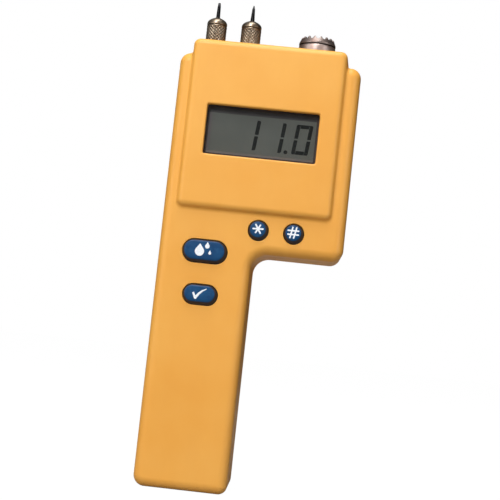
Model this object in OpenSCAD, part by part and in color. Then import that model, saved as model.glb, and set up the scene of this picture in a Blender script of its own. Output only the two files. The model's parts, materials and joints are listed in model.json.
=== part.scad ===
// Hand-held moisture meter with two contact pins, a probe socket and a liquid crystal display.
// It stands on the end of its handle: X runs across the face, -Y is the face, +Z is towards the pins.

/* [Casing] */
// Width of the handle across the face
handle_w = 41.5; // [41:0.1:46]
// Height of the handle below the head
handle_len = 106.6; // [105:0.2:112]
// Width of the head across the face
head_w = 81.6; // [81:0.1:84]
// Height of the head at its shoulders
head_h = 87.4; // [87:0.2:92]
// Depth of the casing from its face to its back
body_d = 38; // [38:0.5:42]
// Wall thickness of both shells
wall = 2.5; // [2.2:0.1:2.6]
// Radius of the outline's corners
corner_r = 5; // [4.6:0.2:6]
// Radius of the long edges of the face and back
edge_r = 4.5; // [3.5:0.5:4.5]

/* [Raised deck] */
// Width of the raised deck that frames the display
deck_w = 68.7; // [68:0.1:69.5]
// How far the deck stands above the shoulders
deck_rise = 6.1; // [6:0.1:8]
// How far the deck stands proud of the face
deck_proud = 2.5; // [2.4:0.1:2.7]
// Height of the deck's lower edge
deck_bottom = 124.2; // [124:0.1:126]

/* [Display] */
// Width of the window
window_w = 50.1; // [46:0.1:50.4]
// Height of the window
window_h = 22.4; // [21:0.1:24]
// Height of the window's centre
window_z = 159.6; // [159:0.1:161]

/* [Buttons] */
// Length of the large pill-shaped button
read_w = 19.8; // [18:0.2:21]
// Height of the large pill-shaped button
read_h = 10.3; // [9:0.1:10.6]
// Length of the small pill-shaped button
check_w = 15.4; // [14:0.2:16.4]
// Height of the small pill-shaped button
check_h = 9; // [8:0.1:9.4]
// Diameter of the two round buttons
round_d = 8.9; // [8:0.1:9]
// How far a button stands proud of the face
button_proud = 1.9; // [1.2:0.1:2.2]
// Travel of a button
travel = 0.8; // [0.4:0.1:0.8]

/* [Electrodes] */
// Distance between the two contact pins
pin_pitch = 16; // [15.8:0.1:17]
// Diameter of a contact pin
pin_d = 1.9; // [1.5:0.1:2]
// Diameter of a pin retainer nut
retainer_d = 9.3; // [8.9:0.1:9.4]
// Height of the pin tips above the handle's end
pin_tip_z = 221.8; // [220.5:0.1:225]

/* [Probe socket] */
// Diameter of the toothed ring
ring_d = 16.8; // [16.4:0.1:17.4]
// Diameter of the socket's bore
socket_bore_d = 10; // [9.6:0.1:10]

/* [Hidden] */
$fn = 96;

// Clearances
fit_gap = 0.05;
slip_gap = 0.2;
eps = 0.01;

// Casing: the origin is at the centre of the handle's end
face_y = -body_d / 2;
back_y = body_d / 2;
split_y = 7;
left_x = -handle_w / 2;
right_x = left_x + head_w;
shoulder_z = handle_len + head_h;
deck_left = left_x + 5.9;
deck_right = deck_left + deck_w;
deck_top = shoulder_z + deck_rise;
deck_face_y = face_y - deck_proud;
deck_r = 3;
deck_edge_r = 2.5;
handle_top = handle_len + 20;
inner_face_y = face_y + wall;
inner_back_y = back_y - wall;
notch_r = 7.5;

// Display stack, from the window inwards
window_x = (deck_left + deck_right) / 2 - 0.2;
lens_y = deck_face_y + wall + 0.1;
lens_t = 1;
glass_w = 54;
glass_h = 30.4;
glass_t = 2.8;
glass_y = lens_y + lens_t + 0.3;
reflector_t = 0.3;
holder_rim = 2;

// Circuit board
board_y = -8;
board_t = 1.6;
board_back_y = board_y + board_t;
board_top = 183;
board_margin = wall + 1.4;
tongue_bottom = 78;

// Buttons and their switches
read_at = [0, 105.2];
check_at = [0, 86];
star_at = [22.5, 116.8];
hash_at = [38.2, 116.8];
cap_y = face_y - button_proud;
flange_y = inner_face_y + 0.2;
flange_t = 0.9;
flange_rim = 1.1;
stem_d = 3;
plunger_d = 3.4;
plunger_y = board_y - 5.4;
plunger_len = board_y - 0.5 - travel - plunger_y;
switch_w = 6;
switch_h = 3.6;

// Screws that join the shells, as [x, z]
screw_inset = 7.2;
case_screws_at = [[left_x + screw_inset, shoulder_z - 7.7], [right_x - screw_inset, shoulder_z - 7.7],
    [right_x - screw_inset, handle_len + 9.2], [-12.9, 70.5], [12.9, 70.5]];
boss_d = 7.2;
pilot_d = 2.5;
pilot_end_y = -8;
screw_d = 2.4;
screw_hole_d = 3.2;
screw_head_d = 5.2;
screw_head_t = 1.9;
screw_seat_y = 11.5;
counterbore_d = 6;

// Screws that hold the board, as [x, z]
board_screws_at = [for (z = [130, 166]) for (x = [left_x + 5.8, right_x - 6.2]) [x, z]];
standoff_d = 5;
board_pilot_d = 2.1;
board_hole_d = 2.4;

// Battery bay
battery_w = 26.5;
battery_t = 17.5;
battery_len = 46.4;
battery_z = 5;
battery_y = -3;
terminal_x = 6.35;
rib_x = 9;
rib_t = 2;
door_w = 28.4;
door_top = 59.7;
door_t = 2;
door_gap = 0.3;
rail_reach = 16.2;
rail_y = 14.9;
rail_t = 1.4;
door_side_x = door_w / 2 - 1.3;

// Electrodes: pins, retainers and posts share these
electrode_y = -3.5;
left_pin_x = -7.2;
right_pin_x = left_pin_x + pin_pitch;
collar_t = 1;
post_d = 6;
shank_d = 5;
post_top = deck_top + 10.4;
post_bottom = deck_top - 14.5;
pin_head_d = 3;
pin_head_t = 2;
pin_shank_d = 2.6;
pin_point = 2.4;
retainer_top = deck_top + 14.1;
retainer_cone = 2.9;

// Probe socket
socket_x = 39.8;
neck_d = 11.4;
lip_d = 12.2;
ring_top = deck_top + 8.6;
barrel_top = deck_top + 7.3;
band_t = 4.9;
teeth = 16;
tooth_gap = 1.9;
insulator_d = socket_bore_d - 0.64;
insulator_top = deck_top + 3;
insulator_len = 12.5;
socket_contact_d = 3;

// Insulated leads, as rounded points on their routes
lead_r = 0.7;
lead_sides = 8;
left_lead_path = [[-7.2, 2.4, 192.95], [-7.2, 3, 189.5], [-7.2, 2.6, 184.5], [-7.2, -1, 180.5],
    [-7.2, -5.4, 179], [-7.2, -6.35, 179]];
right_lead_path = [[8.8, 2.4, 192.95], [8.8, 3, 189.5], [8.8, 2.6, 184.5], [8.8, -1, 180.5],
    [8.8, -5.4, 179], [8.8, -6.35, 179]];
socket_lead_path = [[39.8, -3.5, 186.95], [39.8, -3.2, 184.5], [39.8, -2, 181.5], [39.8, -3, 178.5],
    [39.8, -5.4, 177.5], [39.8, -6.35, 177.5]];
red_lead_path = [[6.3, 5.8, 56.85], [6.3, 5.5, 61], [5, 3, 67], [4, 0, 73], [4, -2.5, 79],
    [4, -5.4, 81.5], [4, -6.35, 81.5]];
black_lead_path = [[-6.3, 5.8, 56.85], [-6.3, 5.5, 61], [-5, 3, 67], [-4, 0, 73],
    [-4, -2.5, 79], [-4, -5.4, 81.5], [-4, -6.35, 81.5]];

// ---- shared shapes ----

// Rectangle with round corners, from its lowest to its highest corner
module round_rect(lo, hi, r) {
    size = hi - lo;
    translate([lo[0] + r, lo[1]]) square([size[0] - 2 * r, size[1]]);
    translate([lo[0], lo[1] + r]) square([size[0], size[1] - 2 * r]);
    for (x = [lo[0] + r, hi[0] - r]) {
        for (y = [lo[1] + r, hi[1] - r]) {
            translate([x, y]) circle(r);
        }
    }
}

// Extrudes an outline drawn in X and Z, from y0 to y1
module along_y(y0, y1) {
    translate([0, y1, 0]) rotate([90, 0, 0]) linear_extrude(y1 - y0) children();
}

// Box with round corners seen from the front and round edges seen from the side and above
module soft_box(lo, hi, corner, edge) {
    intersection() {
        along_y(lo[1], hi[1]) round_rect([lo[0], lo[2]], [hi[0], hi[2]], corner);
        translate([0, 0, lo[2]]) linear_extrude(hi[2] - lo[2])
            round_rect([lo[0], lo[1]], [hi[0], hi[1]], edge);
        translate([lo[0], 0, 0]) rotate([90, 0, 90]) linear_extrude(hi[0] - lo[0])
            round_rect([lo[1], lo[2]], [hi[1], hi[2]], edge);
    }
}

// The casing's outer shape, or its inner one at an inset
module casing(inset) {
    corner = max(corner_r - inset, 1);
    edge = max(edge_r - inset, 1);
    soft_box([left_x + inset, face_y + inset, inset],
        [left_x + handle_w - inset, back_y - inset, handle_top], corner, edge);
    soft_box([left_x + inset, face_y + inset, handle_len + inset],
        [right_x - inset, back_y - inset, shoulder_z - inset], corner, edge);
    soft_box([deck_left + inset, deck_face_y + inset, deck_bottom + inset],
        [deck_right - inset, back_y - inset, deck_top - inset],
        max(deck_r - inset, 1), max(deck_edge_r - inset, 1));
}

// Fills the inner corner between handle and head with a round web
module notch_web() {
    x = left_x + handle_w;
    difference() {
        along_y(face_y + edge_r, back_y - edge_r)
            translate([x - wall, handle_len - notch_r]) square([notch_r + wall, notch_r + wall]);
        along_y(face_y, back_y) translate([x + notch_r, handle_len - notch_r]) circle(notch_r);
        casing(wall);
    }
}

// Straight round bar along Y at a point of the face
module bar_y(at, d, y0, y1) {
    translate([at[0], y1, at[1]]) rotate([90, 0, 0]) cylinder(d = d, h = y1 - y0);
}

// Pill or disc along Y at a point of the face
module pill_y(at, w, h, y0, y1) {
    reach = (w - h) / 2;
    bar_y([at[0] - reach, at[1]], h, y0, y1);
    if (reach > 0) {
        bar_y([at[0] + reach, at[1]], h, y0, y1);
        translate([at[0] - reach, y0, at[1] - h / 2]) cube([2 * reach, y1 - y0, h]);
    }
}

// Everything on the far side of the parting plane
module behind_split() {
    translate([left_x - 10, split_y, -10]) cube([head_w + 20, body_d, deck_top + 20]);
}

// A unit vector, and the plane across it, for sweeping a lead
function unit(v) = v / norm(v);
function heading(path, i) = unit(path[min(i + 1, len(path) - 1)] - path[max(i - 1, 0)]);
function across(t) = unit(cross(t, [1, 0, 0]));
function ring(path, i) = let (t = heading(path, i), u = across(t), v = cross(t, u))
    [for (k = [0:lead_sides - 1]) path[i] + lead_r * (cos(360 * k / lead_sides) * u
        + sin(360 * k / lead_sides) * v)];

// Tube that follows a path
module lead(path) {
    n = len(path);
    points = [for (i = [0:n - 1]) each ring(path, i)];
    sides = [for (i = [0:n - 2]) for (k = [0:lead_sides - 1]) let (m = (k + 1) % lead_sides)
        [i * lead_sides + k, i * lead_sides + m, (i + 1) * lead_sides + m, (i + 1) * lead_sides + k]];
    ends = [[for (k = [lead_sides - 1:-1:0]) k],
        [for (k = [0:lead_sides - 1]) (n - 1) * lead_sides + k]];
    polyhedron(points, concat(sides, ends), convexity = 4);
}

// ---- casing ----

module front_shell() {
    color("orange") difference() {
        union() {
            difference() {
                casing(0);
                casing(wall);
            }
            notch_web();
            for (at = case_screws_at) bar_y(at, boss_d, inner_face_y - 0.5, split_y);
            for (at = board_screws_at) bar_y(at, standoff_d, inner_face_y - 0.5, board_y - fit_gap);
            for (x = [-rib_x, rib_x]) translate([x - rib_t / 2, inner_face_y - 0.5, battery_z])
                cube([rib_t, battery_y + 0.3 - inner_face_y, battery_len]);
        }
        behind_split();
        translate([window_x - window_w / 2, deck_face_y - 1, window_z - window_h / 2])
            cube([window_w, wall + 2, window_h]);
        button_hole(read_at, read_w, read_h);
        button_hole(check_at, check_w, check_h);
        button_hole(star_at, round_d, round_d);
        button_hole(hash_at, round_d, round_d);
        for (at = case_screws_at) bar_y(at, pilot_d, pilot_end_y, split_y + 1);
        for (at = board_screws_at) bar_y(at, board_pilot_d, -14, board_y + 1);
        for (x = [left_pin_x, right_pin_x]) translate([x, electrode_y, deck_top - wall - 1])
            cylinder(d = shank_d + slip_gap, h = wall + 2);
        translate([socket_x, electrode_y, deck_top - wall - 1])
            cylinder(d = neck_d + slip_gap, h = wall + 2);
    }
}

module button_hole(at, w, h) {
    pill_y(at, w + 2 * slip_gap, h + 2 * slip_gap, face_y - 1, inner_face_y + 1);
}

module back_shell() {
    color("darkorange") difference() {
        union() {
            intersection() {
                difference() {
                    casing(0);
                    casing(wall);
                }
                behind_split();
            }
            intersection() {
                notch_web();
                behind_split();
            }
            parting_lip();
            for (at = case_screws_at) bar_y(at, boss_d + 1.6, split_y + 0.1, inner_back_y + 0.5);
            door_ledges();
            translate([left_x + wall - 0.5, split_y + 0.5, door_top + 1.3])
                cube([handle_w - 2 * wall + 1, inner_back_y - split_y, 2]);
        }
        for (at = case_screws_at) {
            bar_y(at, screw_hole_d, split_y - 1, back_y + 1);
            bar_y(at, counterbore_d, screw_seat_y, back_y + 1);
        }
        translate([-door_w / 2 - door_gap, split_y + 1.7, -1])
            cube([door_w + 2 * door_gap, body_d, door_top + door_gap + 1]);
        translate([-rail_reach - door_gap, rail_y - door_gap, -1])
            cube([2 * rail_reach + 2 * door_gap, rail_t + 0.5, wall + 4]);
    }
}

// Thin tongue on the back shell that registers inside the front shell's rim
module parting_lip() {
    intersection() {
        difference() {
            casing(wall + 0.15);
            casing(wall + 1.15);
            for (at = case_screws_at) bar_y(at, boss_d + 0.6, 0, split_y + 0.1);
        }
        translate([left_x, split_y - 1.5, 3]) cube([head_w, 2.5, deck_top]);
    }
}

// Strips beside the battery bay that carry the door's rails
module door_ledges() {
    x = rail_reach - 1.3;
    for (m = [0, 1]) mirror([m, 0, 0]) translate([x, rail_y - 1.9, 8])
        cube([handle_w / 2 - wall / 2 - x, 1.6, door_top - 8]);
}

module battery_door() {
    color("darkorange") {
        difference() {
            intersection() {
                difference() {
                    casing(0);
                    casing(door_t);
                }
                translate([-door_w / 2, split_y + 2, 0.3]) cube([door_w, body_d, door_top - 0.3]);
            }
            for (i = [0:4]) translate([-7, back_y - 0.5, 46 + 2 * i]) cube([14, 1, 1]);
        }
        for (side = [-1, 1]) translate([side > 0 ? door_side_x : -rail_reach, rail_y, 9])
            cube([rail_reach - door_side_x, rail_t, door_top - 12]);
        for (side = [-1, 1]) translate([side > 0 ? door_side_x : -door_w / 2, rail_y + eps, 9])
            cube([door_w / 2 - door_side_x, back_y - 1 - rail_y, door_top - 12]);
    }
}

module case_screws() {
    color("dimgray") for (at = case_screws_at) {
        difference() {
            bar_y(at, screw_head_d, screw_seat_y + fit_gap, screw_seat_y + screw_head_t);
            bar_y(at, 1.6, screw_seat_y + 1, screw_seat_y + 3);
        }
        bar_y(at, screw_d, -6.5, screw_seat_y + 0.5);
    }
}

// ---- display ----

module window_lens() {
    color([0.8, 0.85, 0.85, 0.4])
        translate([window_x - (window_w + 3) / 2, lens_y, window_z - (window_h + 3) / 2])
        cube([window_w + 3, lens_t, window_h + 3]);
}

module lcd_glass() {
    color([0.4, 0.42, 0.38])
        translate([window_x - glass_w / 2, glass_y, window_z - glass_h / 2])
        cube([glass_w, glass_t, glass_h]);
}

module lcd_reflector() {
    color("silver")
        translate([window_x - glass_w / 2 + 1, glass_y + glass_t + 0.02, window_z - 11.5])
        cube([glass_w - 2, reflector_t, 23]);
}

module lcd_holder() {
    outer_w = glass_w + 2 * holder_rim;
    outer_h = glass_h + 2 * holder_rim;
    color("dimgray") {
        difference() {
            translate([window_x - outer_w / 2, lens_y + 0.1, window_z - outer_h / 2])
                cube([outer_w, glass_y + glass_t - lens_y + 0.8, outer_h]);
            translate([window_x - glass_w / 2 - 0.1, lens_y - 1, window_z - glass_h / 2 - 0.1])
                cube([glass_w + 0.2, 10, glass_h + 0.2]);
        }
        for (x = [-1, 1]) for (z = [-1, 1])
            bar_y([window_x + x * (outer_w / 2 - 1), window_z + z * (outer_h / 2 - 1)], 1.8,
                glass_y + glass_t, board_y - fit_gap);
    }
}

module contact_strips() {
    color("hotpink") for (side = [-1, 1])
        translate([window_x - 24, glass_y + glass_t + 0.02, window_z + side * 13.4 - 1.2])
            cube([48, board_y - glass_y - glass_t - 0.04, 2.4]);
}

// ---- buttons ----

// Cap, retaining flange and stem of one button
module button(at, w, h) {
    color("midnightblue") {
        pill_y(at, w, h, cap_y, flange_y + flange_t);
        pill_y(at, w + 2 * flange_rim, h + 2 * flange_rim, flange_y, flange_y + flange_t);
        bar_y(at, stem_d, flange_y, plunger_y - fit_gap);
    }
}

module plunger(at) {
    color("black") bar_y(at, plunger_d, plunger_y, plunger_y + plunger_len);
}

module switch_body(at) {
    color("silver") difference() {
        translate([at[0] - switch_w / 2, board_y - switch_h, at[1] - switch_w / 2])
            cube([switch_w, switch_h - eps, switch_w]);
        bar_y(at, plunger_d + 2 * fit_gap, board_y - switch_h - 1, board_y - 0.2);
    }
}

module read_button() { button(read_at, read_w, read_h); }
module check_button() { button(check_at, check_w, check_h); }
module star_button() { button(star_at, round_d, round_d); }
module hash_button() { button(hash_at, round_d, round_d); }
module read_plunger() { plunger(read_at); }
module check_plunger() { plunger(check_at); }
module star_plunger() { plunger(star_at); }
module hash_plunger() { plunger(hash_at); }
module read_switch() { switch_body(read_at); }
module check_switch() { switch_body(check_at); }
module star_switch() { switch_body(star_at); }
module hash_switch() { switch_body(hash_at); }

// ---- circuit ----

module main_board() {
    color("darkgreen") along_y(board_y, board_back_y) difference() {
        union() {
            translate([left_x + board_margin, handle_len + board_margin])
                square([head_w - 2 * board_margin, board_top - handle_len - board_margin]);
            translate([-15.5, tongue_bottom]) square([31, handle_len - tongue_bottom + 10]);
        }
        for (at = case_screws_at) translate(at) circle(d = boss_d + 1);
        for (at = board_screws_at) translate(at) circle(d = board_hole_d);
        translate(case_screws_at[2] - [boss_d / 2 + 0.5, 8])
            square([boss_d + 2, 8 + boss_d / 2 + 0.5]);
    }
}

module processor_chip() {
    color("black") translate([8, board_back_y + 0.02, 140]) cube([14, 2.2, 14]);
}

module input_amplifier() {
    color("black") translate([-4, board_back_y + 0.02, 165]) cube([10, 2.4, 6]);
}

module board_parts() {
    color("peru") {
        for (i = [0:5]) translate([26 + 3.4 * i, board_back_y + 0.02, 150]) cube([1.6, 0.9, 3.2]);
        for (i = [0:3]) translate([-8 + 3.4 * i, board_back_y + 0.02, 120]) cube([1.6, 0.9, 3.2]);
        for (z = [128, 138]) bar_y([44, z], 6.3, board_back_y + 0.02, board_back_y + 8);
        bar_y([-9, 96], 5, board_back_y + 0.02, board_back_y + 7);
    }
}

module board_screws() {
    color("silver") for (at = board_screws_at) {
        bar_y(at, 4.4, board_back_y + 0.02, board_back_y + 1.7);
        bar_y(at, 2, -13, board_back_y + 0.5);
    }
}

// ---- battery ----

module battery_jacket() {
    color("steelblue") difference() {
        battery_block(0, battery_len);
        translate([0, 0, -1]) battery_block(0.4, battery_len + 2);
    }
}

module battery_core() {
    color("dimgray") battery_block(0.45, battery_len);
}

// Block in the battery bay, inset from the battery's sides
module battery_block(inset, len) {
    translate([0, 0, battery_z]) linear_extrude(len)
        round_rect([-battery_w / 2 + inset, battery_y + inset],
            [battery_w / 2 - inset, battery_y + battery_t - inset], 1.6);
}

module battery_terminals() {
    z = battery_z + battery_len;
    color("silver") for (x = [-terminal_x, terminal_x])
        translate([x, battery_y + battery_t / 2, z + 0.02]) {
            cylinder(d = x < 0 ? 8 : 6, h = 1.6);
        }
}

module battery_snap() {
    z = battery_z + battery_len;
    mid = battery_y + battery_t / 2;
    color("black") difference() {
        translate([-12.4, mid - 6, z + 0.2]) cube([24.8, 12, 5.2]);
        for (x = [-terminal_x, terminal_x]) translate([x, mid, z - 1])
            cylinder(d = x < 0 ? 8.2 : 6.2, h = 3);
    }
}

module battery_pad() {
    color("dimgray") translate([-10, 14.9, 12]) cube([20, 2.05, 32]);
}

module battery_lead_red() { color("red") lead(red_lead_path); }
module battery_lead_black() { color("black") lead(black_lead_path); }

// ---- electrodes ----

// Threaded post with its collar on the deck and its shank through it
module post(x) {
    color("goldenrod") translate([x, electrode_y, 0]) difference() {
        rotate_extrude() polygon([[0, post_bottom], [shank_d / 2, post_bottom],
            [shank_d / 2, deck_top], [retainer_d / 2 - 0.3, deck_top],
            [retainer_d / 2 - 0.3, deck_top + collar_t], [post_d / 2, deck_top + collar_t],
            [post_d / 2, post_top - 0.4], [post_d / 2 - 0.4, post_top], [0, post_top]]);
        translate([0, 0, post_top - pin_head_t - fit_gap])
            cylinder(d = pin_head_d + 2 * fit_gap, h = pin_head_t + 1);
    }
}

// Contact pin: a head that sits in the post, a shank in the retainer, and the pointed pin itself
module pin(x) {
    shaft_end = pin_tip_z - pin_point;
    shank_end = retainer_top + 0.1;
    color([0.15, 0.15, 0.16]) translate([x, electrode_y, 0])
        rotate_extrude() polygon([[0, post_top - pin_head_t], [pin_head_d / 2, post_top - pin_head_t],
            [pin_head_d / 2, post_top], [pin_shank_d / 2, post_top], [pin_shank_d / 2, shank_end],
            [pin_d / 2, shank_end], [pin_d / 2, shaft_end], [0.15, pin_tip_z], [0, pin_tip_z]]);
}

// Retainer nut: threaded on the post, with a cone that closes on the pin
module retainer(x) {
    r = retainer_d / 2;
    hole = pin_shank_d / 2 + fit_gap;
    base = deck_top + collar_t + 0.1;
    seat = post_top + 0.1;
    color("silver") translate([x, electrode_y, 0])
        rotate_extrude() polygon([[post_d / 2 + fit_gap, base], [r - 0.3, base], [r, base + 0.3],
            [r, retainer_top - retainer_cone], [hole + 0.6, retainer_top], [hole, retainer_top],
            [hole, seat], [post_d / 2 + fit_gap, seat]]);
}

module left_post() { post(left_pin_x); }
module right_post() { post(right_pin_x); }
module left_pin() { pin(left_pin_x); }
module right_pin() { pin(right_pin_x); }
module left_retainer() { retainer(left_pin_x); }
module right_retainer() { retainer(right_pin_x); }

// Shapes that sit on both post shanks inside the casing
module on_posts(z) {
    for (x = [left_pin_x, right_pin_x]) translate([x, electrode_y, z]) children();
}

module post_washers() {
    color("silver") on_posts(deck_top - wall - 0.85) difference() {
        cylinder(d = 7.6, h = 0.8);
        translate([0, 0, -1]) cylinder(d = shank_d + 2 * fit_gap, h = 3);
    }
}

module post_nuts() {
    color("goldenrod") on_posts(deck_top - wall - 4) difference() {
        cylinder(d = 9.2, h = 3.1, $fn = 6);
        translate([0, 0, -1]) cylinder(d = shank_d + 2 * fit_gap, h = 6);
    }
}

module post_tags() {
    color("silver") on_posts(deck_top - wall - 4.6) difference() {
        union() {
            cylinder(d = 8, h = 0.5);
            translate([-1.5, 0, 0]) cube([3, 7.2, 0.5]);
        }
        translate([0, 0, -1]) cylinder(d = shank_d + 2 * fit_gap, h = 3);
    }
}

module left_lead() { color("white") lead(left_lead_path); }
module right_lead() { color("gray") lead(right_lead_path); }

// ---- probe socket ----

module socket_barrel() {
    r = neck_d / 2;
    bore = socket_bore_d / 2;
    seat_r = insulator_d / 2 + 0.02;
    step_z = insulator_top + 0.05;
    color("silver") translate([socket_x, electrode_y, 0])
        rotate_extrude() polygon([[seat_r, deck_top - 10], [r, deck_top - 10], [r, deck_top],
            [ring_d / 2, deck_top], [ring_d / 2, deck_top + band_t - 0.3],
            [ring_d / 2 - 0.3, deck_top + band_t], [r, deck_top + band_t],
            [r, barrel_top - 0.6], [lip_d / 2, barrel_top - 0.6],
            [lip_d / 2, barrel_top - 0.2], [lip_d / 2 - 0.2, barrel_top], [bore, barrel_top],
            [bore, step_z], [seat_r, step_z]]);
}

// Ring that turns on the barrel's neck, with teeth round its top
module socket_ring() {
    r = ring_d / 2;
    low = deck_top + band_t + 0.1;
    hollow_r = lip_d / 2 + 0.1;
    gap_z = ring_top - 0.2;
    color("gainsboro") translate([socket_x, electrode_y, 0]) difference() {
        rotate_extrude() polygon([[neck_d / 2 + fit_gap, low], [r, low], [r, low + 0.9],
            [r - 1.15, ring_top], [hollow_r, ring_top],
            [hollow_r, barrel_top - 0.7], [neck_d / 2 + fit_gap, barrel_top - 0.7]]);
        for (i = [0:teeth - 1]) rotate(360 * i / teeth) translate([neck_d / 2, 0, gap_z])
            rotate([0, 90, 0]) cylinder(d = tooth_gap, h = r);
    }
}

module socket_insulator() {
    color("ivory") translate([socket_x, electrode_y, insulator_top - insulator_len]) difference() {
        cylinder(d = insulator_d, h = insulator_len);
        translate([0, 0, -1]) cylinder(d = socket_contact_d + 0.04, h = insulator_len + 2);
    }
}

module socket_contact() {
    len = insulator_len + 3.5;
    color("goldenrod") translate([socket_x, electrode_y, insulator_top - 0.1 - len]) difference() {
        cylinder(d = socket_contact_d, h = len);
        translate([0, 0, 6]) cylinder(d = 1.6, h = len);
    }
}

module socket_washer() {
    color("silver") translate([socket_x, electrode_y, deck_top - wall - 0.85]) difference() {
        cylinder(d = 16.5, h = 0.8);
        translate([0, 0, -1]) cylinder(d = neck_d + 2 * fit_gap, h = 3);
    }
}

module socket_nut() {
    color("silver") translate([socket_x, electrode_y, deck_top - wall - 3.4]) difference() {
        cylinder(d = 18.4, h = 2.5, $fn = 6);
        translate([0, 0, -1]) cylinder(d = neck_d + 2 * fit_gap, h = 5);
    }
}

module socket_lead() { color("blue") lead(socket_lead_path); }

front_shell();
back_shell();
battery_door();
case_screws();
window_lens();
lcd_glass();
lcd_reflector();
lcd_holder();
contact_strips();
read_button();
check_button();
star_button();
hash_button();
read_plunger();
check_plunger();
star_plunger();
hash_plunger();
read_switch();
check_switch();
star_switch();
hash_switch();
main_board();
processor_chip();
input_amplifier();
board_parts();
board_screws();
battery_jacket();
battery_core();
battery_terminals();
battery_snap();
battery_pad();
battery_lead_red();
battery_lead_black();
left_post();
right_post();
left_pin();
right_pin();
left_retainer();
right_retainer();
post_nuts();
post_washers();
post_tags();
left_lead();
right_lead();
socket_barrel();
socket_ring();
socket_insulator();
socket_contact();
socket_nut();
socket_washer();
socket_lead();
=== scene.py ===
import json
import math

import bmesh
import bpy
import numpy as np
from mathutils import Matrix, Vector

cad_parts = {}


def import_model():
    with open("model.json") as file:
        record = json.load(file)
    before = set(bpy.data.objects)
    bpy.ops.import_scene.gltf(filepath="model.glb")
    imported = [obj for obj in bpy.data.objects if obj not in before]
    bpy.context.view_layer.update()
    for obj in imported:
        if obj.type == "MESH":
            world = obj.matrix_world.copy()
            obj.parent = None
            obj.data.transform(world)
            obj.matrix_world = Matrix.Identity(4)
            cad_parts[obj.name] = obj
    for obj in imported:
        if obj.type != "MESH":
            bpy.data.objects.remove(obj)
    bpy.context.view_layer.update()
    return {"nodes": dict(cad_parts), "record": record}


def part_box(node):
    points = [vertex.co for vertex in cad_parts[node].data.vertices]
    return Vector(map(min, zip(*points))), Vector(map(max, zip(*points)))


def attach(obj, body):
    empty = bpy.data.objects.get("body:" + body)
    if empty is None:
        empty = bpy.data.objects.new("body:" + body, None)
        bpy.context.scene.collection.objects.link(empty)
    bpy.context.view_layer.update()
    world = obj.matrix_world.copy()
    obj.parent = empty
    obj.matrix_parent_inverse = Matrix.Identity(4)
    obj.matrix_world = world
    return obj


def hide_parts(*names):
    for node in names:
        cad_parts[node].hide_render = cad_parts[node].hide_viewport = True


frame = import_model()

# Shapes are worked out in millimetres and stored in metres.
MM = 0.001


# ---- sizes from the frame ----

def box_mm(node):
    lo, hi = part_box(node)
    return np.array(lo) / MM, np.array(hi) / MM


def middle(box, a, b):
    """Centre of a box on two of its axes."""
    lo, hi = box
    return (lo[a] + hi[a]) / 2, (lo[b] + hi[b]) / 2


shell_lo, shell_hi = box_mm("front_shell")
LEFT, RIGHT = shell_lo[0], shell_hi[0]
DECK_FACE, SPLIT = shell_lo[1], shell_hi[1]
DECK_TOP = shell_hi[2]
BACK = box_mm("back_shell")[1][1]
HANDLE_RIGHT = -LEFT

# Sizes that no box gives
DECK_PROUD = 2.5
FACE = DECK_FACE + DECK_PROUD
WALL = 2.5
HEAD_BOTTOM = 106.6
SHOULDER = 194.0
DECK_LEFT = LEFT + 5.9
DECK_RIGHT = DECK_LEFT + 68.7
DECK_BOTTOM = 124.2
DECK_FLARE = 0.002


# ---- outlines: closed runs of lines and arcs in X and Z ----

class Outline:
    """A closed outline with round corners, from (x, z, radius) points.
    They run anticlockwise seen from the face."""

    def __init__(self, corners):
        self.lines, self.arcs = [], []
        pts = [np.array(c[:2], float) for c in corners]
        n = len(pts)
        ends = []
        for i, c in enumerate(corners):
            a = pts[i - 1] - pts[i]
            b = pts[(i + 1) % n] - pts[i]
            a /= np.linalg.norm(a)
            b /= np.linalg.norm(b)
            half = math.acos(np.clip(a @ b, -1, 1)) / 2
            reach = c[2] / math.tan(half)
            start, end = pts[i] + a * reach, pts[i] + b * reach
            middle = pts[i] + (a + b) / np.linalg.norm(a + b) * c[2] / math.sin(half)
            convex = a[1] * b[0] - a[0] * b[1] > 0
            self.arcs.append((middle, c[2], convex, start, end))
            ends.append((start, end))
        for i in range(n):
            self.lines.append((ends[i][1], ends[(i + 1) % n][0]))

    def distance(self, x, z):
        """Signed distance, negative inside, and its gradient."""
        best = np.full(x.shape, 1e9)
        signed, gx, gz = np.zeros_like(best), np.zeros_like(best), np.zeros_like(best)
        for a, b in self.lines:
            run = b - a
            length = np.linalg.norm(run)
            run = run / length
            nx, nz = run[1], -run[0]
            t = np.clip((x - a[0]) * run[0] + (z - a[1]) * run[1], 0, length)
            off = np.hypot(x - a[0] - t * run[0], z - a[1] - t * run[1])
            side = (x - a[0]) * nx + (z - a[1]) * nz
            near = off < best
            best = np.where(near, off, best)
            signed = np.where(near, np.sign(side) * off, signed)
            gx, gz = np.where(near, nx, gx), np.where(near, nz, gz)
        for c, r, convex, start, end in self.arcs:
            dx, dz = x - c[0], z - c[1]
            length = np.hypot(dx, dz) + 1e-9
            mid = start + end - 2 * c
            mid = mid / np.linalg.norm(mid)
            spread = (start - c) @ mid / r
            off = np.abs(length - r)
            near = (off < best) & ((dx * mid[0] + dz * mid[1]) / length >= spread)
            out = 1 if convex else -1
            best = np.where(near, off, best)
            signed = np.where(near, out * (length - r), signed)
            gx, gz = np.where(near, out * dx / length, gx), np.where(near, out * dz / length, gz)
        return signed, gx, gz


def rectangle(x0, z0, x1, z1, r):
    return Outline([(x0, z0, r), (x1, z0, r), (x1, z1, r), (x0, z1, r)])


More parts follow.
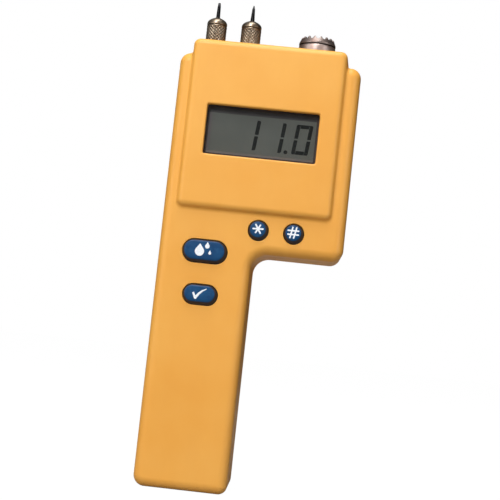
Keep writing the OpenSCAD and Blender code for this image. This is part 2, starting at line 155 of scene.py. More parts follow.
BODY_OUTLINE = Outline([
    (LEFT, 0, 5), (HANDLE_RIGHT, 0, 4), (HANDLE_RIGHT, HEAD_BOTTOM, 7.5),
    (RIGHT, HEAD_BOTTOM, 5.2), (RIGHT, SHOULDER, 4.8), (LEFT, SHOULDER, 4.8)])
DECK_OUTLINE = rectangle(DECK_LEFT, DECK_BOTTOM, DECK_RIGHT, DECK_TOP, 3)


# ---- solids as distance fields ----

def rounded_slab(outline, p, y0, y1, front_r, back_r):
    """Distance and gradient of an outline extruded from y0 to y1, with round front and back edges."""
    flat, gx, gz = outline.distance(p[:, 0], p[:, 2])
    front = p[:, 1] < (y0 + y1) / 2
    r = np.where(front, front_r, back_r)
    across = flat + r
    along = np.where(front, y0 - p[:, 1], p[:, 1] - y1) + r
    ay = np.where(front, -1.0, 1.0)
    both = (across > 0) & (along > 0)
    length = np.hypot(across, along) + 1e-12
    d = np.where(both, length, np.maximum(across, along)) - r
    wa = np.where(both, across / length, across > along)
    wb = np.where(both, along / length, across <= along)
    return d, np.stack([gx * wa, ay * wb, gz * wa], 1)


def filleted_union(a, b, r):
    """Union of two fields with a fillet of radius r where they meet at an angle."""
    (da, ga), (db, gb) = a, b
    meet = r * np.clip(1 - (ga * gb).sum(1), 0, 1)
    ua, ub = np.maximum(meet - da, 0), np.maximum(meet - db, 0)
    blend = (meet > 1e-3) & (ua > 0) & (ub > 0) & (np.minimum(da, db) > -meet)
    length = np.hypot(ua, ub) + 1e-12
    d = np.where(blend, meet - length, np.minimum(da, db))
    g = (ua[:, None] * ga + ub[:, None] * gb) / length[:, None]
    g = np.where(blend[:, None], g, np.where((da < db)[:, None], ga, gb))
    return d, g / (np.linalg.norm(g, axis=1, keepdims=True) + 1e-12)


def deck_field(p):
    """The deck and the tower behind it, whose sides spread towards the back."""
    middle = (DECK_LEFT + DECK_RIGHT) / 2
    spread = 1 + DECK_FLARE * (p[:, 1] - DECK_FACE)
    q = p.copy()
    q[:, 0] = middle + (p[:, 0] - middle) / spread
    d, g = rounded_slab(DECK_OUTLINE, q, DECK_FACE, BACK, 2.8, 4)
    g[:, 1] -= g[:, 0] * (q[:, 0] - middle) * DECK_FLARE / spread
    g[:, 0] /= spread
    return d, g / np.linalg.norm(g, axis=1, keepdims=True)


def casing_field(p, fillet=1.4):
    body = rounded_slab(BODY_OUTLINE, p, FACE, BACK, 4.5, 4.5)
    return filleted_union(body, deck_field(p), fillet)


def inset_field(p, inset):
    d, g = casing_field(p, 0.01)
    return d + inset, g


def with_slope(distance):
    """A field made from a distance function: its value and unit gradient."""
    reach = 0.01

    def field(p):
        sides = [distance(p + reach * a) - distance(p - reach * a) for a in np.eye(3)]
        g = np.stack(sides, 1) / (2 * reach)
        length = np.linalg.norm(g, axis=1) + 1e-9
        return distance(p) / np.maximum(length, 0.4), g / length[:, None]
    return field


def surface_net(field, lo, hi, step, distance=None):
    """Quads on the zero surface of a field, with every corner moved onto the surface."""
    distance = distance or (lambda p: field(p)[0])
    axes = [np.arange(lo[k], hi[k] + step, step) for k in range(3)]
    shape = [len(a) for a in axes]
    values = np.empty(shape)
    for i, x in enumerate(axes[0]):
        yy, zz = np.meshgrid(axes[1], axes[2], indexing="ij")
        p = np.stack([np.full(yy.size, x), yy.ravel(), zz.ravel()], 1)
        values[i] = distance(p).reshape(yy.shape)
    inside = values < 0
    cells = tuple(n - 1 for n in shape)
    total, count = np.zeros(cells + (3,)), np.zeros(cells)
    corner = [slice(0, -1), slice(1, None)]
    for axis in range(3):
        others = [k for k in range(3) if k != axis]
        for s, t in ((0, 0), (0, 1), (1, 0), (1, 1)):
            a = [corner[0]] * 3
            a[others[0]], a[others[1]] = corner[s], corner[t]
            b = list(a)
            b[axis] = corner[1]
            va, vb = values[tuple(a)], values[tuple(b)]
            cross = inside[tuple(a)] != inside[tuple(b)]
            total[..., axis] += np.where(cross, va / np.where(cross, va - vb, 1), 0)
            total[..., others[0]] += cross * s
            total[..., others[1]] += cross * t
            count += cross
    used = count > 0
    number = np.full(cells, -1)
    number[used] = np.arange(used.sum())
    where = np.argwhere(used)
    points = where + total[used] / count[used][:, None]
    points = points * step + np.array([a[0] for a in axes])
    for _ in range(5):
        d, g = field(points)
        points = points - d[:, None] * g
    quads = []
    for axis in range(3):
        u, v = (axis + 1) % 3, (axis + 2) % 3
        a, b = [slice(1, -1)] * 3, [slice(1, -1)] * 3
        a[axis], b[axis] = slice(0, -1), slice(1, None)
        change = inside[tuple(a)] != inside[tuple(b)]
        at = np.argwhere(change)
        at[:, u] += 1
        at[:, v] += 1
        flip = inside[tuple(b)][change]
        ring = []
        for du, dv in ((-1, -1), (0, -1), (0, 0), (-1, 0)):
            c = at.copy()
            c[:, u] += du
            c[:, v] += dv
            ring.append(number[c[:, 0], c[:, 1], c[:, 2]])
        ring = np.stack(ring, 1)
        ring[flip] = ring[flip][:, ::-1]
        quads.append(ring)
    return points, np.concatenate(quads)


# ---- meshes ----

def linked(name, data):
    """A scene object that holds a mesh, a light or a camera."""
    obj = bpy.data.objects.new(name, data)
    bpy.context.scene.collection.objects.link(obj)
    return obj


def new_object(name, points, faces):
    """A mesh object from points in millimetres."""
    mesh = bpy.data.meshes.new(name)
    points = np.asarray(points, float) * MM
    mesh.from_pydata(points.tolist(), [], [list(map(int, f)) for f in faces])
    mesh.validate()
    return linked(name, mesh)


def read(items, field, width=1, kind=float):
    """A field of some mesh elements as an array, with a row each where it has several numbers."""
    values = np.empty(len(items) * width, kind)
    items.foreach_get(field, values)
    return values.reshape(-1, width) if width > 1 else values


def outward(obj, weld=False):
    """Turns a closed mesh's faces outwards, after weld has merged the points that coincide."""
    bm = bmesh.new()
    bm.from_mesh(obj.data)
    if weld:
        bmesh.ops.remove_doubles(bm, verts=bm.verts, dist=1e-7)
        bmesh.ops.dissolve_degenerate(bm, edges=bm.edges, dist=1e-8)
    bmesh.ops.recalc_face_normals(bm, faces=bm.faces)
    bm.to_mesh(obj.data)
    bm.free()
    return obj


def painted(obj, index):
    """Sets each face's material index, from a number or a function of its centre in millimetres."""
    for p in obj.data.polygons:
        p.material_index = index([c / MM for c in p.center]) if callable(index) else index
    return obj


def drop(obj):
    bpy.data.meshes.remove(obj.data)


def carve(obj, tool, operation="DIFFERENCE", keep_tool=False):
    """Cuts obj with tool, or joins the two, and drops the tool unless it is kept."""
    m = obj.modifiers.new("carve", "BOOLEAN")
    m.object, m.operation, m.solver = tool, operation, "MANIFOLD"
    bpy.context.view_layer.update()
    graph = bpy.context.evaluated_depsgraph_get()
    made = bpy.data.meshes.new_from_object(obj.evaluated_get(graph))
    obj.modifiers.clear()
    old, obj.data = obj.data, made
    bpy.data.meshes.remove(old)
    if not keep_tool:
        drop(tool)
    return obj


def joined(objects, name):
    """One object from several that don't overlap."""
    mesh = bpy.data.meshes.new(name)
    bm = bmesh.new()
    for o in objects:
        bm.from_mesh(o.data)
        drop(o)
    bm.to_mesh(mesh)
    bm.free()
    return linked(name, mesh)


def block(name, lo, hi):
    """Box between two corners, in millimetres."""
    pts = [(x, y, z) for x in (lo[0], hi[0]) for y in (lo[1], hi[1]) for z in (lo[2], hi[2])]
    faces = [(0, 1, 3, 2), (4, 6, 7, 5), (0, 4, 5, 1), (2, 3, 7, 6), (0, 2, 6, 4), (1, 5, 7, 3)]
    return new_object(name, pts, faces)


def pill_points(centre, w, h, r, count):
    """Points round a rectangle with round corners, anticlockwise seen from the face."""
    pts = []
    r = max(min(r, w / 2, h / 2), 1e-4)
    for k, (sx, sz) in enumerate(((1, -1), (1, 1), (-1, 1), (-1, -1))):
        for i in range(count + 1):
            a = math.radians(-90 + 90 * k + 90 * i / count)
            pts.append((centre[0] + sx * (w / 2 - r) + r * math.cos(a),
                        centre[1] + sz * (h / 2 - r) + r * math.sin(a)))
    return pts


def loft_y(name, rings):
    """Closed solid through rings of equal length, each (y, [(x, z), ...]), from the front to the back."""
    n = len(rings[0][1])
    pts = [(x, y, z) for y, ring in rings for x, z in ring]
    faces = [tuple(reversed(range((len(rings) - 1) * n, len(rings) * n))), tuple(range(n))]
    for k in range(len(rings) - 1):
        for i in range(n):
            j = (i + 1) % n
            faces.append((k * n + i, (k + 1) * n + i, (k + 1) * n + j, k * n + j))
    return outward(new_object(name, pts, faces))


def prism(name, ring, y0, y1):
    """Straight closed solid with the same outline at both ends."""
    return loft_y(name, [(y0, ring), (y1, ring)])


def hole_tool(name, centre, w, h, r, face_y, end_y, round_r=0.35, corner_steps=12):
    """Cutter for a hole through the face or the back whose rim comes out rounded."""
    inward = 1 if end_y > face_y else -1
    profile = [(face_y - 2 * inward, round_r)]
    for i in range(5):
        a = math.radians(90 * i / 4)
        profile.append((face_y + inward * round_r * (1 - math.cos(a)), round_r * (1 - math.sin(a))))
    profile.append((end_y, 0))
    return loft_y(name, [(y, pill_points(centre, w + 2 * o, h + 2 * o, r + o, corner_steps))
                         for y, o in profile])


def smooth_max(a, b, k):
    """The larger of two distances, rounded over a width k where they cross."""
    lap = np.maximum(k - np.abs(a - b), 0)
    return np.maximum(a, b) + lap * lap / (4 * k)


def smooth_min(a, b, k):
    return -smooth_max(-a, -b, k)


def slab(p, lo, hi):
    """Distance from a box between two corners."""
    lo, hi = np.array(lo, float), np.array(hi, float)
    q = np.abs(p - (lo + hi) / 2) - (hi - lo) / 2
    return np.linalg.norm(np.maximum(q, 0), axis=1) + np.minimum(q.max(1), 0)


def net_object(name, distance, lo, hi, step):
    """A mesh of a distance function's zero surface, shaded with the function's own slope."""
    field = with_slope(distance)
    margin = 2.3 * step
    obj = new_object(name, *surface_net(field, np.array(lo) - margin, np.array(hi) + margin, step, distance))
    mesh = obj.data
    slope = field(read(mesh.vertices, "co", 3) / MM)[1]
    corner = read(mesh.loops, "vertex_index", kind=int)
    mesh.shade_smooth()
    mesh.normals_split_custom_set(slope[corner].tolist())
    return obj


def smooth_by_angle(obj, degrees=30):
    obj.data.shade_smooth()
    obj.data.set_sharp_from_angle(angle=math.radians(degrees))
    return obj


def moved(obj, x, y, z):
    obj.data.transform(Matrix.Translation(Vector((x, y, z)) * MM))
    return obj


def lathe(name, loop, centre, count=96, shift=None):
    """Solid of revolution about an upright axis, from a closed loop of (r, z) points, anticlockwise.
    shift(angle, i) gives an extra radius for loop point i."""
    n = len(loop)
    pts, faces = [], []
    for k in range(count):
        a = 2 * math.pi * k / count
        for i, (r, z) in enumerate(loop):
            if shift and r > 0:
                r += shift(a, i)
            pts.append((centre[0] + r * math.cos(a), centre[1] + r * math.sin(a), z))
    for k in range(count):
        m = (k + 1) % count
        for i in range(n):
            j = (i + 1) % n
            if loop[i][0] > 0 or loop[j][0] > 0:
                faces.append((k * n + i, m * n + i, m * n + j, k * n + j))
    return smooth_by_angle(outward(new_object(name, pts, faces), weld=True))


def piece(obj, body, slot, nodes, extra=(), first=None):
    """Gives a finished piece its body and its materials, and hides the CAD nodes it stands for.
    The materials are the finish of its record slot, or first in its place, and any extra ones that its faces
    name."""
    kept = read(obj.data.polygons, "material_index", kind=int)
    obj.data.materials.clear()
    for m in (first or FINISHES[slot], *extra):
        obj.data.materials.append(m)
    obj.data.polygons.foreach_set("material_index", kept)
    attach(obj, body)
    if nodes:
        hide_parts(*nodes)


def shade_casing(obj):
    """Smooth normals from the casing's own field, and by angle on the cut faces."""
    mesh = smooth_by_angle(obj, 32).data
    d, g = casing_field(read(mesh.vertices, "co", 3) / MM)
    corner = read(mesh.loops, "vertex_index", kind=int)
    normals = read(mesh.corner_normals, "vector", 3)
    face_normal = read(mesh.polygons, "normal", 3)
    faces = len(face_normal)
    face_of = np.repeat(np.arange(faces), read(mesh.polygons, "loop_total", kind=int))
    on_field = np.abs(d[corner]) < 0.02
    agree = (g[corner] * face_normal[face_of]).sum(1) > 0.75
    misses = np.bincount(face_of, weights=~(on_field & agree), minlength=faces)
    use = misses[face_of] == 0
    normals[use] = g[corner][use]
    mesh.normals_split_custom_set(normals.tolist())


# ---- casing ----

button_box = {k: box_mm(k + "_button") for k in ("read", "check", "star", "hash")}
FLANGE_RIM = 1.1
HOLE_GAP = 0.2
FAR = 40
CASING_GRID, INSIDE_GRID = 0.83, 1.61
SEAM_HALF, GROOVE_HALF, GROOVE_DEPTH = 0.05, 0.3, 0.35
SCREWS = [(LEFT + 7.2, SHOULDER - 7.7), (RIGHT - 7.2, SHOULDER - 7.7), (RIGHT - 7.2, HEAD_BOTTOM + 9.2),
          (-12.9, 70.5), (12.9, 70.5)]
BOARD_SCREWS = [(x, z) for z in (130, 166) for x in (LEFT + 5.8, RIGHT - 6.2)]
SCREW_SEAT = 11.5
DOOR_HALF = 14.2
DOOR_GAP = 0.3
door_lo, door_hi = box_mm("battery_door")
DOOR_TOP = door_hi[2]
pin_centre = {side: middle(box_mm(side + "_pin"), 0, 1) for side in ("left", "right")}
ring_lo, ring_hi = box_mm("socket_ring")
SOCKET = middle((ring_lo, ring_hi), 0, 1)
lens_lo, lens_hi = box_mm("window_lens")
LENS_LEDGE = 1.5
WINDOW = middle((lens_lo, lens_hi), 0, 2)
WINDOW_W = lens_hi[0] - lens_lo[0] - 2 * LENS_LEDGE
WINDOW_H = lens_hi[2] - lens_lo[2] - 2 * LENS_LEDGE


def button_size(key):
    """A cap's centre, width and height, without its flange."""
    lo, hi = button_box[key]
    w, h = (hi - lo)[[0, 2]] - 2 * FLANGE_RIM
    return middle((lo, hi), 0, 2), w, h


def bar(name, at, r, y0, y1):
    """Round bar along Y at a point of the face."""
    return prism(name, pill_points(at, 2 * r, 2 * r, r, 16), y0, y1)


def upright(name, centre, r, z0, z1):
    return lathe(name, [(0, z0), (r, z0), (r, z1), (0, z1)], centre, 64)


def parting_groove(lo, hi):
    """Cutter for the fine groove along the parting line."""
    def band(p):
        d, g = inset_field(p, GROOVE_DEPTH)
        end = np.abs(p[:, 1] - SPLIT) - 2.2
        flat = np.stack([0 * end, np.sign(p[:, 1] - SPLIT), 0 * end], 1)
        return np.maximum(d, end), np.where((end > d)[:, None], flat, g)
    core = new_object("groove_core", *surface_net(
        band, [lo[0], SPLIT - 4, lo[2]], [hi[0], SPLIT + 4, hi[2]], CASING_GRID))
    return carve(wide_slice("groove", SPLIT - GROOVE_HALF, SPLIT + GROOVE_HALF), core)


def wide_slice(name, y0, y1):
    """Block that takes in the whole casing between two depths."""
    return block(name, (LEFT - FAR, y0, -FAR), (RIGHT + FAR, y1, DECK_TOP + FAR))


def casing_shells():
    """The two shells with their inside hollow, and the groove where they meet."""
    margin = 3.1
    lo = np.array([LEFT, DECK_FACE, 0]) - margin
    hi = np.array([RIGHT, BACK, DECK_TOP]) + margin
    back = new_object("casing_back", *surface_net(casing_field, lo, hi, CASING_GRID))
    inner = surface_net(lambda p: inset_field(p, WALL), lo, hi, INSIDE_GRID)
    carve(back, new_object("casing_inner", *inner))
    front = linked("casing_front", back.data.copy())
    groove = parting_groove(lo, hi)
    for shell, y0, y1 in ((front, SPLIT - SEAM_HALF, BACK + FAR), (back, DECK_FACE - FAR, SPLIT + SEAM_HALF)):
        carve(shell, wide_slice("half", y0, y1))
        carve(shell, groove, keep_tool=True)
    drop(groove)
    return front, back


def front_inside(front):
    """Bosses, standoffs and battery ribs inside the front shell."""
    root = FACE + WALL - 0.5
    solid = [bar("boss", at, 3.6, root, SPLIT - 0.1) for at in SCREWS]
    solid += [bar("standoff", at, 2.5, root, -8.05) for at in BOARD_SCREWS]
    solid += [block("rib", (x - 1, root, 5), (x + 1, -2.7, 51.4)) for x in (-9, 9)]
    carve(front, joined(solid, "bosses"), "UNION")
    holes = [bar("pilot", at, 1.25, -8, SPLIT + 1) for at in SCREWS]
    holes += [bar("pilot", at, 1.05, -14, -7) for at in BOARD_SCREWS]
    for at, r in ((pin_centre["left"], 2.6), (pin_centre["right"], 2.6), (SOCKET, 5.8)):
        holes.append(upright("top_hole", at, r, DECK_TOP - WALL - 1, DECK_TOP + 1))
    carve(front, joined(holes, "holes"))


def face_holes(front):
    """The window and the button holes, with rounded rims."""
    tools = [hole_tool("window", WINDOW, WINDOW_W, WINDOW_H, 0.9, DECK_FACE, DECK_FACE + WALL + 1, 0.8, 6)]
    for key in button_box:
        centre, w, h = button_size(key)
        tools.append(hole_tool(key, centre, w + 2 * HOLE_GAP, h + 2 * HOLE_GAP, h / 2 + HOLE_GAP,
                               FACE, FACE + WALL + 1, 0.3, 16))
    carve(front, joined(tools, "face_holes"))


def back_inside(back):
    """Screw bosses, door ledges and the wall above the battery inside the back shell."""
    inner, ledge_x = BACK - WALL, 14.9
    solid = [bar("boss", at, 4.4, SPLIT + 0.1, inner + 0.5) for at in SCREWS]
    for x0, x1 in ((ledge_x, HANDLE_RIGHT - 1.2), (LEFT + 1.2, -ledge_x)):
        solid.append(block("ledge", (x0, 13, 8), (x1, 14.6, DOOR_TOP)))
    solid.append(block("wall", (LEFT + 2, SPLIT + 0.5, DOOR_TOP + 1.3),
                       (HANDLE_RIGHT - 2, inner + 0.3, DOOR_TOP + 3.3)))
    carve(back, joined(solid, "bosses"), "UNION")
    carve(back, joined([bar("hole", at, 1.6, SPLIT - 1, SCREW_SEAT + 1) for at in SCREWS], "holes"))


def back_holes(back):
    """Screw wells and the door's opening, with rounded rims on the back."""
    wells = [hole_tool("well", at, 6, 6, 3, BACK, SCREW_SEAT, 0.35) for at in SCREWS]
    carve(back, joined(wells, "wells"))
    half, top, low = DOOR_HALF + DOOR_GAP, DOOR_TOP + DOOR_GAP, -6
    carve(back, hole_tool("opening", (0, (top + low) / 2), 2 * half, top - low, 0.8, BACK, 8.7, 0.3, 6))
    carve(back, block("slots", (-16.5, 14.6, -1), (16.5, 16.8, 6.5)))


def battery_door():
    """Door plate with rounded edges, five grip grooves and its two rails."""
    def distance(p):
        outer = casing_field(p)[0]
        plate = np.maximum(outer, -(outer + 2))
        d = smooth_max(plate, slab(p, (-DOOR_HALF, 9, door_lo[2]), (DOOR_HALF, BACK + 5, DOOR_TOP)), 0.5)
        for i in range(5):
            groove = np.hypot(p[:, 1] - BACK - 0.25, p[:, 2] - 46.5 - 2 * i) - 0.75
            ends = np.abs(p[:, 0]) - 7
            d = smooth_max(d, -smooth_max(groove, ends, 0.3), 0.3)
        mirrored = np.abs(p * (1, 0, 0)) + p * (0, 1, 1)
        for x1, y0, y1 in ((16.2, 14.9, 16.3), (DOOR_HALF, 15, 18)):
            d = smooth_min(d, slab(mirrored, (12.9, y0, 9), (x1, y1, DOOR_TOP - 3)) - 0.01, 0.2)
        return d
    return net_object("door_plate", distance, (-16.2, 9, 0), (16.2, BACK, DOOR_TOP), 0.45)


front, back = casing_shells()
front_inside(front)
face_holes(front)
back_inside(back)
back_holes(back)
shade_casing(front)
shade_casing(back)
door = battery_door()


# ---- buttons ----

SIDE, TOP, PRINT = 0, 1, 2


def stroke(a, b, width, y0, y1):
    """Straight stroke with round ends between two (x, z) points."""
    run = (b[0] - a[0], b[1] - a[1])
    turn = math.atan2(run[1], run[0])
    pts = []
    for end, start in ((b, -90), (a, 90)):
        for i in range(9):
            t = turn + math.radians(start + 180 * i / 8)
            pts.append((end[0] + width / 2 * math.cos(t), end[1] + width / 2 * math.sin(t)))
    return prism("stroke", pts, y0, y1)


def drop_shape(at, r, tall, y0, y1):
    """Water drop: a round foot drawn up to a point."""
    pts = []
    lift = math.degrees(math.asin(r / (tall - r)))
    for i in range(25):
        t = math.radians(180 - lift + (180 + 2 * lift) * i / 24)
        pts.append((at[0] + r * math.cos(t), at[1] + r * math.sin(t)))
    pts.append((at[0], at[1] + tall - r))
    return prism("drop", pts, y0, y1)


def merged(shapes):
    whole = shapes[0]
    for s in shapes[1:]:
        carve(whole, s, "UNION")
    return whole


def drops_icon(at, y0, y1):
    x, z = at
    drops = [(-1.9, -0.9, 2.05, 5.5), (1.35, 1.55, 1.0, 2.9), (2.7, -1.4, 0.62, 2.0)]
    return [drop_shape((x + a, z + b), r, tall, y0, y1) for a, b, r, tall in drops]


def check_icon(at, y0, y1):
    x, z = at
    outline = [(-3.1, 0.35), (-2.35, 0.75), (-1.5, -0.85), (-0.4, 0.55), (1.1, 1.75), (3.0, 2.6), (3.2, 2.35),
               (1.7, 1.35), (0.3, -0.1), (-1.3, -2.45), (-2.0, -2.1)]
    pts = [(x + a - 0.3, z + b) for a, b in reversed(outline)]
    return [prism("tick", pts, y0, y1)]


def star_icon(at, y0, y1):
    arms = []
    for i, reach in enumerate((2.15, 1.9, 2.15)):
        t = math.radians(2 + 60 * i)
        d = (reach * math.cos(t), reach * math.sin(t))
        arms.append(stroke((at[0] - d[0], at[1] - d[1]), (at[0] + d[0], at[1] + d[1]), 0.72, y0, y1))
    return [merged(arms)]


def hash_icon(at, y0, y1):
    x, z = at
    lean, reach, width = 0.45, 2.3, 0.68
    bars = []
    for o in (-0.85, 0.85):
        bars.append(stroke((x + o - lean, z - reach), (x + o + lean, z + reach), width, y0, y1))
        bars.append(stroke((x - reach, z + o), (x + reach, z + o), width, y0, y1))
    return [merged(bars)]


ICONS = {"read": (drops_icon, (-0.3, 0.65)), "check": (check_icon, (0, 0.2)),
         "star": (star_icon, (-0.1, 0.6)), "hash": (hash_icon, (-0.2, 0.5))}


def button(key):
    """Drafted cap whose crowned top leans up and to the left, its flange and stem, and a raised icon. The
    near-black navy sides are partly the cap's dark rubber and partly painted shade.
    """
    (x, z), w, h = button_size(key)
    top, stem_end = button_box[key][0][1], button_box[key][1][1]
    flange = FACE + WALL + 0.2
    blue_edge = top + 0.28

    def ring(y, inset, lean=(0, 0)):
        at = (x + lean[0] * inset, z + lean[1] * inset)
        return y, pill_points(at, w - 2 * inset, h - 2 * inset, h / 2 - inset, 18)
    # The lean moves the blue top up and left, so the dark sides show wider at the lower right: painted shade.
    rings = [ring(y, inset, (-0.2, 0.36)) for y, inset in (
        (top, 2.1), (top + 0.02, 1.75), (top + 0.07, 1.45), (top + 0.17, 1.2), (top + 0.34, 0.98),
        (top + 0.6, 0.78), (FACE - 0.5, 0.4), (FACE - 0.1, 0.15), (FACE + 0.4, 0), (flange, 0))]
    rings += [ring(flange + rise, inset - FLANGE_RIM) for rise, inset in ((0, 0.1), (0.1, 0), (0.9, 0))]
    rings += [(y, pill_points((x, z), 3, 3, 1.5, 18)) for y in (flange + 0.9, stem_end)]
    body = painted(loft_y("cap", rings), lambda c: TOP if c[1] < blue_edge else SIDE)
    icon, shift = ICONS[key]
    marks = icon((x + shift[0], z + shift[1]), top - 0.04, top + 0.2)
    return joined([smooth_by_angle(body, 40)] + [painted(m, PRINT) for m in marks], key + "_cap")


# ---- display ----

DIGIT_H = 13.5
DIGIT_W = 7.4
STROKE = 1.65
SLANT = math.tan(math.radians(6))
SEGMENT_GAP = 0.24
MIDDLE_GAP = 0.7
DIGIT_BASE = WINDOW[1] - 7.25
DIGIT_RIGHTS = (17.2, 28.7, 40.6)
INK_DEPTH = 0.12
LIT = {"1": "bc", "0": "abcdef"}
GLASS, POLARISER, INK = 0, 1, 2


def segment(kind, x, z, y0, y1):
    """One bar of a seven-segment digit whose left foot is at (x, z)."""
    g, mid = SEGMENT_GAP / 2, DIGIT_H / 2 + MIDDLE_GAP / 2
    if kind in "ad":
        x0, x1 = STROKE + g, DIGIT_W - STROKE - g
        edge, foot = (DIGIT_H, DIGIT_H - STROKE) if kind == "a" else (0, STROKE)
        pts = [(x0, edge), (x1, edge), (x1, foot), (x0, foot)]
    else:
        right = kind in "bc"
        upper = kind in "bf"
        u = (lambda v: DIGIT_W - v) if right else (lambda v: v)
        t = (lambda v: v) if upper else (lambda v: DIGIT_H - v)
        pts = [(u(0), t(DIGIT_H - 0.5)), (u(0.5), t(DIGIT_H)), (u(STROKE), t(DIGIT_H)),
               (u(STROKE), t(mid + g)), (u(STROKE - g), t(mid)), (u(g), t(mid)), (u(0), t(mid + g))]
    pts = [(x + a + b * SLANT, z + b) for a, b in pts]
    area = sum(pts[i - 1][0] * pts[i][1] - pts[i][0] * pts[i - 1][1] for i in range(len(pts)))
    if area < 0:
        pts.reverse()
    return prism("bar", pts, y0, y1)


def display_cell():
    """Two glass plates and a polariser, with the lit segments of the reading on it."""
    lo, hi = box_mm("lcd_glass")
    mid = middle((lo, hi), 0, 2)
    w, h = hi[0] - lo[0], hi[2] - lo[2]
    front, bevel = lo[1], 0.08
    parts = []
    for y0, y1, lw, lh, index in ((front + 0.05, front + 0.25, w - 1.6, h - 5.4, POLARISER),
                                  (front + 0.27, front + 1.35, w, h - 4.4, GLASS),
                                  (front + 1.37, hi[1], w, h, GLASS)):
        rings = [(y, pill_points(mid, lw - 2 * o, lh - 2 * o, r, 4)) for y, o, r in (
            (y0, bevel, 0.3), (y0 + bevel, 0, 0.4), (y1 - bevel, 0, 0.4), (y1, bevel, 0.3))]
        parts.append(painted(loft_y("plate", rings), index))
    marks = []
    for text, right in zip("110", DIGIT_RIGHTS):
        for kind in LIT[text]:
            marks.append(segment(kind, right - DIGIT_W, DIGIT_BASE, front, front + INK_DEPTH))
    dot = (DIGIT_RIGHTS[1] + 2.0, DIGIT_BASE + 0.6)
    marks.append(bar("point", dot, 0.88, front, front + INK_DEPTH))
    return smooth_by_angle(joined(parts + [painted(m, INK) for m in marks], "display_cell"))


def window_shade_frame():
    """Thin dark brown frame between the lens and the display: a sheet of painted shade for the shadowed walls
    of the window.
    """
    y0, y1 = lens_hi[1] + 0.04, lens_hi[1] + 0.12

    def outline(over, r):
        return pill_points(WINDOW, WINDOW_W + 2 * over, WINDOW_H + 2 * over, r, 4)
    return carve(prism("window_shade_frame", outline(1.4, 0.6), y0, y1),
                 prism("shade_frame_hole", outline(-1.05, 0.5), y0 - 1, y1 + 1))


# ---- electrodes ----

KNURLS = 22
KNURL_STEPS = 8
KNURL_LEAD = 1.5
KNURL_DEPTH = 0.28
LEFT_PIN_WEAR = 0.3


def contact_pin(side):
    """Ground pin that tapers to a point, with the head that its post holds."""
    lo, hi = box_mm(side + "_pin")
    worn = side == "left"
    z0, tip = lo[2], hi[2] - (LEFT_PIN_WEAR if worn else 0)
    nut_top = box_mm(side + "_retainer")[1][2]
    base_r, end_r, blunt = (0.93, 0.74, 0.5) if worn else (0.96, 0.64, 0.15)
    loop = [(0, z0), (1.4, z0), (1.5, z0 + 0.1), (1.5, z0 + 1.9), (1.4, z0 + 2), (1.1, z0 + 2.05),
            (1.1, nut_top - 0.5), (1.0, nut_top - 0.2), (base_r + 0.04, nut_top + 0.05)]
    for i in range(9):
        t = i / 8
        loop.append((base_r - (base_r - end_r) * t, nut_top + 0.4 + (tip - 2.2 - nut_top) * t))
    loop += [(end_r * 0.3 + blunt * 0.7, tip - 0.5), (blunt + 0.05, tip - 0.12),
             (blunt - 0.06, tip - 0.03), (0, tip)]
    return lathe(side + "_contact_pin", loop, pin_centre[side], 40)


def retainer_nut(side):
    """Knurled nut with a plain neck ring and a dome that closes on the pin."""
    lo, hi = box_mm(side + "_retainer")
    r, base, top = (hi[0] - lo[0]) / 2, lo[2], hi[2]
    shoulder = top - 3.0
    low, high = base + 0.55, shoulder - 1.05
    step = KNURL_LEAD / KNURL_STEPS
    rows = int((high - low) / step)
    loop = [(3.05, base), (r - 0.45, base), (r - 0.2, base + 0.12), (r - 0.08, base + 0.35)]
    first = len(loop)
    loop += [(r, low + step * i) for i in range(rows + 1)]
    last = len(loop) - 1
    loop += [(r - 0.1, high + 0.12), (r - 0.34, high + 0.24), (r - 0.38, high + 0.4), (r - 0.3, high + 0.55),
             (r - 0.06, high + 0.68), (r, high + 0.8), (r, shoulder - 0.1), (r - 0.04, shoulder)]
    loop += [(1.6 + (r - 1.65) * (1 - t ** 2.4), shoulder + 2.9 * t)
             for t in (0.08, 0.18, 0.3, 0.42, 0.55, 0.7, 0.85)]
    loop += [(1.65, top - 0.1), (1.45, top), (1.15, top), (1.15, base + 9.5), (3.05, base + 9.5)]

    def knurl(a, i):
        if i < first or i > last:
            return 0
        u = KNURLS * a / (2 * math.pi)
        v = (i - first) / KNURL_STEPS
        ridge = min(abs(2 * ((u + v) % 1) - 1), abs(2 * ((u - v) % 1) - 1))
        fade = min(1, (i - first) / 3, (last - i) / 3)
        return -KNURL_DEPTH * fade * (1 - ridge)
    return lathe(side + "_knurled_nut", loop, pin_centre[side], KNURLS * KNURL_STEPS, knurl)


# ---- probe socket ----

TEETH = 16
TOOTH_GAP = 1.9


def rounded_loop(corners, steps=5):
    """Points round an (r, z, radius) outline, with its arcs cut into steps."""
    pts = []
    for c, r, _, start, end in Outline(corners).arcs:
        a, b = start - c, end - c
        for i in range(steps + 1):
            v = a * (1 - i / steps) + b * i / steps
            v = c + v / np.linalg.norm(v) * r
            pts.append((v[0], v[1]))
    return pts


def socket_barrel():
    """Barrel with its base band, the neck that the ring turns on and the lip that keeps it there."""
    lo, hi = box_mm("socket_barrel")
    insulator = box_mm("socket_insulator")
    r, neck, lip = (hi[0] - lo[0]) / 2, 5.7, 6.1
    seat = (insulator[1][0] - insulator[0][0]) / 2 + 0.02
    step_z = insulator[1][2] + 0.05
    band = ring_lo[2] - 0.1
    body = lathe("socket_body", rounded_loop([
        (seat, lo[2], 0.06), (neck, lo[2], 0.2), (neck, DECK_TOP, 0.05), (r, DECK_TOP, 0.5),
        (r, band, 0.75), (neck, band, 0.05), (neck, hi[2] - 0.6, 0.05), (lip, hi[2] - 0.6, 0.1),
        (lip, hi[2], 0.15), (5, hi[2], 0.25), (5, step_z, 0.05), (seat, step_z, 0.05)]), SOCKET, 128)
    # Neck faces inside the ring's gap take the dark gap material as painted shade.
    def in_shaded_gap(c):
        out = math.hypot(c[0] - SOCKET[0], c[1] - SOCKET[1])
        return int(band - 0.4 < c[2] < hi[2] - 0.7 and seat + 1 < out < r - 0.5)
    return painted(body, in_shaded_gap)


